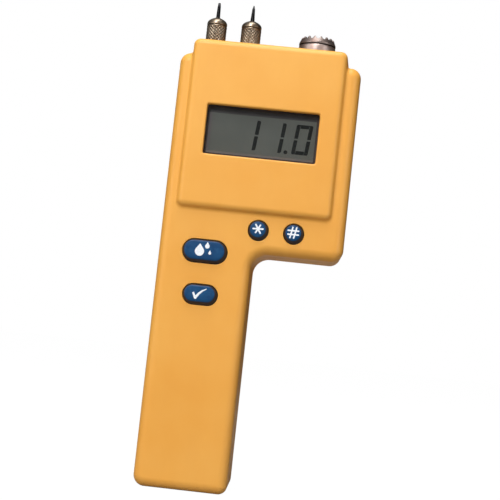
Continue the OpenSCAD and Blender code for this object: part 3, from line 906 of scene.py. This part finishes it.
def toothed_ring():
    """Locking ring whose top is cut into rounded teeth."""
    r, low, top = (ring_hi[0] - ring_lo[0]) / 2, ring_lo[2], ring_hi[2]
    profile = Outline([(5.75, low, 0.1), (r, low, 0.15), (r, low + 0.95, 0.6), (r - 1.1, top, 0.45),
                       (6.2, top, 0.3), (6.2, low + 1.6, 0.1), (5.75, low + 1.6, 0.1)])
    pitch = 2 * math.pi / TEETH

    def distance(p):
        x, y = p[:, 0] - SOCKET[0], p[:, 1] - SOCKET[1]
        q = np.hypot(x, y)
        d = profile.distance(q, p[:, 2])[0]
        a = np.mod(np.arctan2(y, x) + pitch / 2, pitch) - pitch / 2
        gap = np.hypot(q * np.sin(a), p[:, 2] - top + 0.2) - TOOTH_GAP / 2
        gap = np.where(p[:, 2] > top - 0.2, np.abs(q * np.sin(a)) - TOOTH_GAP / 2, gap)
        return smooth_max(d, -gap, 0.4)
    ring = net_object("toothed_ring", distance, ring_lo, ring_hi, 0.21)
    # The lowest row of faces takes the dark gap material: painted shade where the ring sits on the band.
    return painted(ring, lambda c: int(c[2] < low + 0.25))


# ---- case screws ----

def case_screws():
    """Pan-head screws with a cross recess and a thread."""
    head_r, seat, head_top, end = 2.6, SCREW_SEAT + 0.05, SCREW_SEAT + 1.9, -6.5
    pitch = 1.1

    def distance(p):
        q = np.hypot(p[:, 0], p[:, 2])
        y = p[:, 1]
        head = smooth_max(smooth_max(q - head_r, y - head_top, 0.9), seat - y, 0.15)
        turn = np.arctan2(p[:, 2], p[:, 0]) / (2 * math.pi)
        ridge = np.abs(2 * np.mod(y / pitch - turn, 1) - 1)
        shank = q - 0.9 - 0.3 * ridge ** 2
        tip = (q + (end - y)) * 0.7
        shank = smooth_max(smooth_max(shank, y - seat - 0.4, 0.1), tip - 0.1, 0.2)
        d = smooth_min(head, shank, 0.15)
        narrow = 0.42 - 0.12 * (head_top - y)
        reach = 1.45 - 0.3 * (head_top - y)
        a, b = np.abs(p[:, 0]), np.abs(p[:, 2])
        slot_x = np.maximum(a - reach, b - narrow)
        slot_z = np.maximum(b - reach, a - narrow)
        recess = np.maximum(np.minimum(slot_x, slot_z), head_top - 1.2 - y)
        return smooth_max(d, -recess, 0.1)
    one = net_object("screw", distance, (-head_r, end, -head_r), (head_r, head_top, head_r), 0.2)
    screws = []
    for i, (x, z) in enumerate(SCREWS):
        screw = linked("screw_copy", one.data.copy())
        screw.data.transform(Matrix.Rotation(math.radians(40 * i + 10), 4, "Y"))
        screws.append(moved(screw, x, 0, z))
    drop(one)
    return smooth_by_angle(joined(screws, "case_screw_set"), 40)


# ---- materials ----

def srgb(r, g, b):
    """Linear colour from 0-255 sRGB values."""
    def one(v):
        v /= 255
        return v / 12.92 if v <= 0.04045 else ((v + 0.055) / 1.055) ** 2.4
    return (one(r), one(g), one(b), 1)


def put_node(tree, kind, inputs=None, **settings):
    """A new shader node. Each of its inputs is linked to an output or set to a constant."""
    node = tree.nodes.new("ShaderNode" + kind)
    for key, value in settings.items():
        setattr(node, key, value)
    for key, value in (inputs or {}).items():
        if isinstance(value, bpy.types.NodeSocket):
            tree.links.new(value, node.inputs[key])
        else:
            node.inputs[key].default_value = value
    return node


class Finish:
    """A material with short calls for the nodes used here. Pattern sizes are in millimetres."""

    def __init__(self, name, **constants):
        self.mat = bpy.data.materials.new(name)
        self.mat.use_nodes = True
        self.tree = self.mat.node_tree
        self.shader = self.tree.nodes["Principled BSDF"]
        self.place = self.node("TexCoord").outputs["Object"]
        self.last_bump = None
        for key, value in constants.items():
            self.shader.inputs[key.replace("_", " ").title().replace("Ior", "IOR")].default_value = value

    def node(self, kind, inputs=None, **settings):
        return put_node(self.tree, kind, inputs, **settings)

    def feed(self, value, name):
        self.tree.links.new(value, self.shader.inputs[name])

    def noise(self, size, detail=2.0, rough=0.5, stretch=(1, 1, 1)):
        place = self.node("Mapping", {"Scale": stretch, "Vector": self.place}).outputs["Vector"]
        return self.node("TexNoise", {"Scale": 1 / (size * MM), "Detail": detail, "Roughness": rough,
                                      "Vector": place}).outputs["Fac"]

    def cells(self, size):
        return self.node("TexVoronoi", {"Scale": 1 / (size * MM), "Vector": self.place}).outputs["Distance"]

    def bands(self, pitch, direction="Z", wobble=0.0):
        scale = 1 / (20 * pitch * MM / (2 * math.pi))
        return self.node("TexWave", {"Scale": scale, "Distortion": wobble, "Detail": 2, "Vector": self.place},
                         bands_direction=direction).outputs["Fac"]

    def along(self, axis):
        return self.node("SeparateXYZ", {0: self.place}).outputs[axis]

    def span(self, value, a, b, c=0.0, d=1.0):
        """Value mapped from a..b to c..d."""
        return self.node("MapRange", {"Value": value, "From Min": a, "From Max": b,
                                      "To Min": c, "To Max": d}).outputs[0]

    def patches(self, size, detail, a, b, c=0.0, d=1.0):
        return self.span(self.noise(size, detail), a, b, c, d)

    def math(self, kind, a, b):
        return self.node("Math", {0: a, 1: b}, operation=kind).outputs[0]

    def mix(self, amount, a, b):
        return self.node("Mix", {0: amount, 6: a, 7: b}, data_type="RGBA").outputs[2]

    def worn(self, low, high, c=0.0, d=1.0):
        """A value that goes from c in hollows to d on sharp outer edges. It marks wear on the edges and
        painted shade in the hollows.
        """
        return self.span(self.node("NewGeometry").outputs["Pointiness"], low, high, c, d)

    def colour(self, value):
        self.feed(value, "Base Color")

    def rough(self, value, low, high):
        self.feed(self.span(value, 0.3, 0.7, low, high), "Roughness")

    def sheen(self, size, detail, low, high):
        self.rough(self.noise(size, detail), low, high)

    def grain(self, size, detail, depth):
        self.bump(self.noise(size, detail), depth)

    def bump(self, height, depth):
        """Adds a relief, in millimetres deep, on top of any before it."""
        inputs = {"Distance": depth * MM, "Height": height}
        if self.last_bump:
            inputs["Normal"] = self.last_bump
        self.last_bump = self.node("Bump", inputs).outputs[0]
        self.feed(self.last_bump, "Normal")


def shade(colour, factor):
    return tuple(min(1.0, c * factor) for c in colour[:3]) + (1,)


def moulded(name, colour, rough=0.45, grain=0.35, depth=0.012, vary=0.06, pale=0.25):
    """Moulded plastic: fine spark-eroded grain, slow colour drift and slightly paler worn edges."""
    f = Finish(name)
    tint = f.mix(f.patches(28, 3, 0.3, 0.7), shade(colour, 1 - vary), shade(colour, 1 + vary))
    edge = f.math("MULTIPLY", f.worn(0.54, 0.66), f.patches(4, 4, 0.35, 0.7, 0, pale))
    f.colour(f.mix(edge, tint, shade(colour, 1.35)))
    f.sheen(9, 4, rough - 0.06, rough + 0.07)
    f.bump(f.noise(grain, 3, 0.6), depth)
    f.grain(6, 2, 0.01)
    return f.mat


def two_tone(name, one, other, patches, sheen, grain=None, **constants):
    """Patches of two close colours, uneven sheen and fine grain. Each is a noise's size and detail,
    then its two thresholds, its two roughness values or its depth."""
    f = Finish(name, **constants)
    f.colour(f.mix(f.patches(*patches), one, other))
    f.sheen(*sheen)
    if grain:
        f.grain(*grain)
    return f.mat


def casing_plastic():
    """The casing's yellow-orange plastic: satin, with fine grain, faint flow marks and handling rub."""
    f = Finish("casing_yellow_plastic", specular_ior_level=0.3, coat_weight=0.06, coat_roughness=0.3)
    tint = f.mix(f.patches(34, 3, 0.32, 0.68), srgb(237, 166, 68), srgb(241, 175, 79))
    flow = f.span(f.noise(7, 4, 0.6, (1, 1, 0.25)), 0.4, 0.75, 0, 0.16)
    tint = f.mix(flow, tint, srgb(230, 159, 66))
    rub = f.math("MULTIPLY", f.worn(0.51, 0.57), f.span(f.noise(5, 5, 0.6), 0.42, 0.72, 0, 0.45))
    tint = f.mix(rub, tint, srgb(248, 198, 112))
    specks = f.span(f.cells(1.7), 0.0, 0.09, 0.22, 0)
    specks = f.math("MULTIPLY", specks, f.patches(12, 2, 0.5, 0.6))
    f.colour(f.mix(specks, tint, shade(srgb(240, 171, 74), 0.55)))
    f.rough(f.noise(11, 5, 0.6), 0.36, 0.5)
    f.bump(f.noise(0.42, 3, 0.6), 0.014)
    f.grain(9, 2, 0.03)
    scratch = f.span(f.noise(0.6, 2, 0.5, (0.12, 1, 1)), 0.68, 0.74)
    f.bump(f.math("MULTIPLY", scratch, f.patches(22, 2, 0.52, 0.62)), -0.006)
    return f.mat


def turned(name, colour, rough, pitch, depth=0.004):
    """Turned metal: fine rings across the axis, smudges and a slow tint."""
    f = Finish(name, metallic=1.0)
    tint = f.mix(f.patches(3.5, 4, 0.35, 0.7), colour, shade(colour, 0.75))
    f.colour(f.mix(f.math("MULTIPLY", f.worn(0.52, 0.62), 0.5), tint, shade(colour, 1.3)))
    f.sheen(2.2, 5, rough - 0.07, rough + 0.12)
    f.bump(f.bands(pitch, "Z", 0.6), depth)
    f.grain(0.25, 3, depth)
    return f.mat


def knurled_nickel():
    """Worn nickel plate, with painted shade that turns the hollows of the knurl dark brown."""
    f = Finish("knurled_nickel", metallic=1.0)
    tint = f.mix(f.patches(2.5, 4, 0.35, 0.7), srgb(166, 153, 135), srgb(124, 104, 84))
    # Painted shade: the hollows of the knurl darken to brown.
    hollow_shade = f.worn(0.44, 0.52, 0.9, 0)
    f.colour(f.mix(hollow_shade, tint, srgb(52, 42, 34)))
    f.sheen(1.2, 5, 0.28, 0.42)
    f.grain(0.3, 3, 0.004)
    return f.mat


def chrome(name, low, high, level):
    """Plated brass: a warm tint, painted shade in the hollows, and a polish between two roughness values."""
    f = Finish(name, metallic=1.0)
    tint = f.mix(f.patches(3, 4, 0.35, 0.7), srgb(214 * level, 196 * level, 188 * level),
                 srgb(186 * level, 158 * level, 148 * level))
    # Painted shade: the hollows darken towards brown-black.
    hollow_shade = f.worn(0.42, 0.5, 0.85, 0)
    f.colour(f.mix(hollow_shade, tint, srgb(58, 46, 42)))
    f.sheen(2, 5, low, high)
    f.grain(1.6, 3, 0.006)
    return f.mat


def blackened_steel():
    """Blackened steel with fine turning marks, rubbed bright near the tip."""
    f = Finish("pin_blackened_steel", metallic=0.85)
    worn_tip = f.span(f.along(2), (TIP_Z - 2.2) * MM, (TIP_Z - 0.4) * MM)
    spots = f.patches(0.8, 4, 0.4, 0.65)
    tint = f.mix(spots, srgb(16, 16, 18), srgb(30, 30, 32))
    f.colour(f.mix(f.math("MULTIPLY", worn_tip, 0.55), tint, srgb(84, 86, 88)))
    f.sheen(0.9, 4, 0.28, 0.45)
    f.bump(f.bands(0.09, "Z", 1.2), 0.003)
    return f.mat


def acrylic():
    """Clear window: light passes, with a faint tint, fine scratches and a soft sheen."""
    f = Finish("window_acrylic_clear", alpha=0.06, ior=1.49)
    f.colour(f.mix(f.patches(16, 4, 0.4, 0.7), srgb(40, 42, 44), srgb(70, 74, 76)))
    f.rough(f.noise(7, 5, 0.6), 0.04, 0.12)
    f.bump(f.span(f.noise(0.5, 2, 0.5, (0.1, 1, 1)), 0.66, 0.72), 0.003)
    return f.mat


def polariser():
    """The display's grey-green face with fine grain, painted shade along its left edge, a painted pale
    reflection along its foot and a painted shadow band under its top edge.
    """
    f = Finish("display_polariser", specular_ior_level=0.4)
    tint = f.mix(f.patches(18, 3, 0.3, 0.7), srgb(78, 81, 75), srgb(86, 89, 83))
    grain = f.patches(0.3, 2, 0.35, 0.65, 0, 0.35)
    tint = f.mix(grain, tint, srgb(70, 74, 68))
    left, foot, crown = WINDOW[0] - WINDOW_W / 2, WINDOW[1] - WINDOW_H / 2, WINDOW[1] + WINDOW_H / 2
    # Painted light from the window: shade on the left edge, a pale reflection on the foot and a shadow band
    # under the top.
    for axis, start, end, before, after, colour in (
            (0, left + 2.2, left + 2.5, 0.6, 0, srgb(82, 70, 76)),
            (2, foot + 1.9, foot + 2.2, 0.7, 0, srgb(106, 98, 94)),
            (2, crown - 3.2, crown - 3, 0, 1, srgb(48, 45, 46))):
        painted_light_band = f.span(f.along(axis), start * MM, end * MM, before, after)
        tint = f.mix(painted_light_band, tint, colour)
    f.colour(tint)
    f.sheen(4, 4, 0.34, 0.46)
    f.grain(0.22, 3, 0.006)
    return f.mat


def key_top():
    """Blue printed top of a button: satin, a little rubbed towards its edge."""
    f = Finish("button_top_blue", specular_ior_level=0.22)
    tint = f.mix(f.patches(5, 4, 0.3, 0.7), srgb(8, 60, 104), srgb(14, 74, 120))
    rub = f.math("MULTIPLY", f.worn(0.505, 0.56), f.patches(1.6, 4, 0.4, 0.7, 0, 0.4))
    f.colour(f.mix(rub, tint, srgb(40, 92, 136)))
    f.sheen(3, 4, 0.34, 0.48)
    f.grain(0.3, 3, 0.006)
    return f.mat


def elastomer():
    """Contact strip: thin dark conducting layers between pink insulating ones."""
    f = Finish("strip_elastomer")
    layers = f.span(f.bands(0.36, "X"), 0.35, 0.5)
    f.colour(f.mix(layers, srgb(40, 34, 36), srgb(206, 120, 132)))
    f.sheen(1.5, 3, 0.55, 0.7)
    f.bump(f.bands(0.36, "X"), 0.01)
    return f.mat


def solder_mask():
    """Board lacquer over tracks: raised lines, pads and a slow tint."""
    f = Finish("board_solder_mask", coat_weight=0.3, coat_roughness=0.15)
    tracks = f.math("MAXIMUM", f.span(f.bands(2.3, "X", 0.4), 0.78, 0.84),
                    f.span(f.bands(3.7, "Z", 0.3), 0.84, 0.88))
    tint = f.mix(f.patches(14, 3, 0.3, 0.7), srgb(12, 84, 44), srgb(18, 98, 54))
    tint = f.mix(f.math("MULTIPLY", tracks, 0.7), tint, srgb(40, 128, 70))
    pads = f.span(f.cells(3.1), 0.12, 0.09, 0, 1)
    f.colour(f.mix(f.math("MULTIPLY", pads, 0.8), tint, srgb(206, 196, 160)))
    f.sheen(6, 3, 0.25, 0.4)
    f.bump(tracks, 0.03)
    return f.mat


def jacket():
    """Battery jacket: blue lacquer, scuffed in places, with a copper-coloured band at its top."""
    f = Finish("battery_jacket_print", metallic=0.4)
    edge = box_mm("battery_jacket")[1][2] - 11
    band = f.span(f.along(2), edge * MM, (edge + 0.15) * MM)
    tint = f.mix(f.patches(9, 3, 0.3, 0.7), srgb(24, 52, 110), srgb(34, 66, 128))
    tint = f.mix(band, tint, srgb(196, 130, 70))
    f.colour(f.mix(f.patches(1.5, 5, 0.66, 0.74, 0, 0.6), tint, srgb(150, 150, 150)))
    f.sheen(4, 4, 0.26, 0.4)
    f.grain(2.5, 3, 0.03)
    return f.mat


def foam():
    """Open-pored foam: dark pores in a grey skin."""
    f = Finish("pad_open_foam", specular_ior_level=0.2)
    pores = f.cells(0.7)
    f.colour(f.mix(f.span(pores, 0.1, 0.5), srgb(34, 34, 36), srgb(74, 74, 78)))
    f.sheen(2, 3, 0.85, 0.95)
    f.bump(pores, 0.35)
    return f.mat


def brushed(name, colour, rough=0.3, stretch=(0.05, 1, 1)):
    """Sheet or plated metal with fine drawn lines."""
    f = Finish(name, metallic=1.0)
    lines = f.noise(0.25, 3, 0.6, stretch)
    f.colour(f.mix(f.patches(4, 4, 0.35, 0.7), colour, shade(colour, 0.78)))
    f.rough(lines, rough - 0.06, rough + 0.12)
    f.bump(lines, 0.004)
    return f.mat


def insulation(name, colour):
    """Lead insulation: glossy vinyl with faint drawn waves."""
    tones = shade(colour, 0.85), shade(colour, 1.12)
    return two_tone(name, *tones, (3, 3, 0.3, 0.7), (1.5, 3, 0.24, 0.4), (0.9, 2, 0.02))


TIP_Z = box_mm("left_pin")[1][2]
FINISHES = {
    "casing_yellow": casing_plastic(),
    "case_screw_steel": brushed("case_screw_black_zinc", srgb(70, 70, 74), 0.34, (1, 0.1, 1)),
    "window_acrylic": acrylic(),
    "display_glass": two_tone(
        "display_cell_glass", srgb(92, 102, 94), srgb(112, 120, 110),
        (8, 3, 0.3, 0.7), (5, 3, 0.06, 0.14), (6, 2, 0.004), specular_ior_level=0.5),
    "reflector_foil": brushed("reflector_matt_foil", srgb(188, 190, 180), 0.42),
    "holder_black": moulded("holder_black_plastic", srgb(38, 38, 41), 0.5),
    "strip_rubber": elastomer(),
    "button_blue": moulded("button_side_dark", srgb(17, 22, 36), 0.42, 0.3, 0.008, 0.1, 0.1),
    "plunger_black": moulded("plunger_black_plastic", srgb(34, 34, 36), 0.42),
    "switch_shell": brushed("switch_stamped_steel", srgb(186, 186, 190), 0.28),
    "board_green": solder_mask(),
    "chip_black": two_tone(
        "chip_epoxy", srgb(26, 26, 28), srgb(48, 48, 50),
        (0.25, 3, 0.4, 0.65), (1.2, 3, 0.5, 0.65), (0.2, 3, 0.012)),
    "component_tan": two_tone(
        "component_glaze", srgb(176, 132, 84), srgb(206, 168, 116),
        (1.6, 4, 0.3, 0.7), (1.2, 3, 0.22, 0.4), (0.6, 3, 0.01)),
    "screw_zinc": turned("screw_bright_zinc", srgb(196, 198, 204), 0.28, 0.5, 0.02),
    "battery_jacket_blue": jacket(),
    "battery_filling": moulded("battery_cell_stack", srgb(58, 58, 62), 0.6, 0.8, 0.03),
    "terminal_nickel": turned("terminal_bright_nickel", srgb(206, 200, 190), 0.2, 0.3),
    "snap_vinyl": moulded("snap_black_vinyl", srgb(30, 30, 32), 0.34, 0.5, 0.01),
    "pad_foam": foam(),
    "lead_red": insulation("lead_red_vinyl", srgb(186, 26, 24)),
    "lead_black": insulation("lead_black_vinyl", srgb(32, 32, 34)),
    "lead_white": insulation("lead_white_vinyl", srgb(222, 222, 216)),
    "lead_grey": insulation("lead_grey_vinyl", srgb(128, 128, 132)),
    "lead_blue": insulation("lead_blue_vinyl", srgb(36, 70, 168)),
    "post_brass": turned("post_turned_brass", srgb(206, 172, 100), 0.26, 0.2),
    "pin_steel": blackened_steel(),
    "retainer_nickel": knurled_nickel(),
    "socket_chrome": chrome("socket_chrome_plate", 0.36, 0.48, 0.88),
    "insulator_ivory": moulded("insulator_ivory_plastic", srgb(224, 216, 196), 0.38, 0.4, 0.006),
}


def finish_cad_nodes():
    """Gives every CAD node that still shows the finish of its record slot."""
    for part in frame["record"]["subparts"]:
        node = frame["nodes"][part["node"]]
        node.data.materials.clear()
        node.data.materials.append(FINISHES[part["material_slot"]])
        smooth_by_angle(node)


finish_cad_nodes()
piece(front, "casing", "casing_yellow", ["front_shell"])
piece(back, "casing", "casing_yellow", ["back_shell"])
piece(door, "battery_hatch", "casing_yellow", ["battery_door"])
KEY_PRINT = two_tone("button_print_white", srgb(246, 248, 250), srgb(222, 228, 234),
                     (0.7, 4, 0.35, 0.75), (0.9, 4, 0.4, 0.55), (0.2, 3, 0.004), specular_ior_level=0.3)
KEY_TOP_AND_PRINT = [key_top(), KEY_PRINT]
for key in button_box:
    piece(button(key), key + "_key", "button_blue", [key + "_button"], KEY_TOP_AND_PRINT)
SEGMENT_INK = two_tone("display_segment_black", srgb(8, 11, 9), srgb(16, 20, 17),
                       (1.4, 3, 0.35, 0.7), (1.1, 3, 0.38, 0.5), specular_ior_level=0.15)
piece(display_cell(), "casing", "display_glass", ["lcd_glass"], [polariser(), SEGMENT_INK])
# The frame behind the window is painted shade, dark brown like the window's shadowed walls.
piece(window_shade_frame(), "casing", "holder_black", [],
      first=moulded("window_frame_painted_shade", srgb(40, 22, 10), 0.5, 0.3, 0.004))
for side in pin_centre:
    piece(contact_pin(side), side + "_electrode", "pin_steel", [side + "_pin"])
    piece(retainer_nut(side), side + "_collet", "retainer_nickel", [side + "_retainer"])
GAP_SHADE = [FINISHES["case_screw_steel"]]
piece(socket_barrel(), "casing", "socket_chrome", ["socket_barrel"], GAP_SHADE)
piece(toothed_ring(), "locking_ring", "socket_chrome", ["socket_ring"], GAP_SHADE,
      first=chrome("ring_satin_plate", 0.4, 0.52, 0.7))
piece(case_screws(), "casing", "case_screw_steel", ["case_screws"])


# ---- floor, light and camera ----

ROOM_LIGHT_FROM = (-0.25, -0.8, 0.55)
ROOM_DARK = 0.02
ROOM_BRIGHT = 0.36
FLOOR_GLOW = 1.1
FLOOR_GLOW_SHARE = 0.9
WHITE = (1, 1, 1, 1)


def floor():
    """Pale grey floor that the camera sees as almost white."""
    size = 3000
    obj = new_object("floor", [(-size, -size, 0), (size, -size, 0), (size, size, 0), (-size, size, 0)],
                     [(0, 1, 2, 3)])
    f = Finish("floor_white", base_color=(0.3, 0.3, 0.3, 1), roughness=0.9)
    glow = f.node("Emission", {"Color": WHITE, "Strength": FLOOR_GLOW})
    share = f.math("MULTIPLY", f.node("LightPath").outputs["Is Camera Ray"], FLOOR_GLOW_SHARE)
    mix = f.node("MixShader", {0: share, 1: f.shader.outputs[0], 2: glow.outputs[0]})
    f.tree.links.new(mix.outputs[0], f.tree.nodes["Material Output"].inputs[0])
    obj.data.materials.append(f.mat)


def world():
    """White backdrop for the camera, and for everything else a dim room.
    The room is brighter above and to the left."""
    w = bpy.data.worlds.new("studio")
    bpy.context.scene.world = w
    w.use_nodes = True
    tree = w.node_tree
    seen = tree.nodes["Background"]
    seen.inputs["Color"].default_value = WHITE
    seen.inputs["Strength"].default_value = 1.0
    direction = put_node(tree, "TexCoord").outputs["Generated"]
    lit = put_node(tree, "VectorMath", {0: direction, 1: Vector(ROOM_LIGHT_FROM).normalized()},
                   operation="DOT_PRODUCT")
    level = put_node(tree, "MapRange", {"Value": lit.outputs["Value"], "From Min": -0.15, "From Max": 1,
                                        "To Min": ROOM_DARK, "To Max": ROOM_BRIGHT})
    room = put_node(tree, "Background", {"Color": WHITE, "Strength": level.outputs[0]})
    path = put_node(tree, "LightPath").outputs["Is Camera Ray"]
    mix = put_node(tree, "MixShader", {0: path, 1: room.outputs[0], 2: seen.outputs[0]})
    tree.links.new(mix.outputs[0], tree.nodes["World Output"].inputs[0])


def softbox(name, at, target, size, power):
    """White area light that faces a target, sizes in millimetres and power in watts."""
    lamp = bpy.data.lights.new(name, "AREA")
    lamp.shape = "RECTANGLE"
    lamp.size, lamp.size_y = size[0] * MM, size[1] * MM
    lamp.energy = power
    obj = linked(name, lamp)
    obj.location = Vector(at) * MM
    aim = (Vector(target) - Vector(at)).normalized()
    obj.rotation_mode = "QUATERNION"
    obj.rotation_quaternion = aim.to_track_quat("-Z", "Y")
    return obj


def camera():
    """The photograph's view: slightly from the right and from below, half a metre away, and rolled."""
    azimuth, elevation, roll = math.radians(2.7), math.radians(-4.2), math.radians(6.18)
    distance, mm_per_pixel, frame_px, sensor = 500, 0.44, 500, 36
    aim = Vector((19.85, FACE - 1, 107.8))
    back = Vector((math.sin(azimuth) * math.cos(elevation), -math.cos(azimuth) * math.cos(elevation),
                   math.sin(elevation)))
    right = Vector((0, 0, 1)).cross(back).normalized()
    up = back.cross(right)
    tilted_right = math.cos(roll) * right + math.sin(roll) * up
    tilted_up = math.cos(roll) * up - math.sin(roll) * right
    data = bpy.data.cameras.new("camera")
    data.sensor_width = sensor
    data.lens = sensor * distance / mm_per_pixel / frame_px
    data.clip_start, data.clip_end = 0.01, 20
    obj = linked("camera", data)
    turn = Matrix((tilted_right, tilted_up, back)).transposed().to_4x4()
    obj.matrix_world = Matrix.Translation((aim + back * distance) * MM) @ turn
    bpy.context.scene.camera = obj


floor()
world()
softbox("key", (-276, -996, 896), (15, -10, 120), (266, 266), 10.6)
softbox("fill", (60, -760, 190), (15, -10, 110), (420, 420), 0.5).visible_glossy = False
softbox("top", (-20, -260, 1080), (20, -10, 190), (420, 700), 6.3)
for sideways in (-1, 1):
    strip = softbox("strip", (20 + sideways * 500, -420, 240), (20, 5, 190), (260, 400), 1)
    strip.visible_diffuse = False
softbox("back", (-220, 700, 480), (20, 0, 110), (420, 420), 2.6).visible_glossy = False
camera()
scene = bpy.context.scene
scene.view_settings.view_transform = "Standard"
scene.view_settings.look = "None"
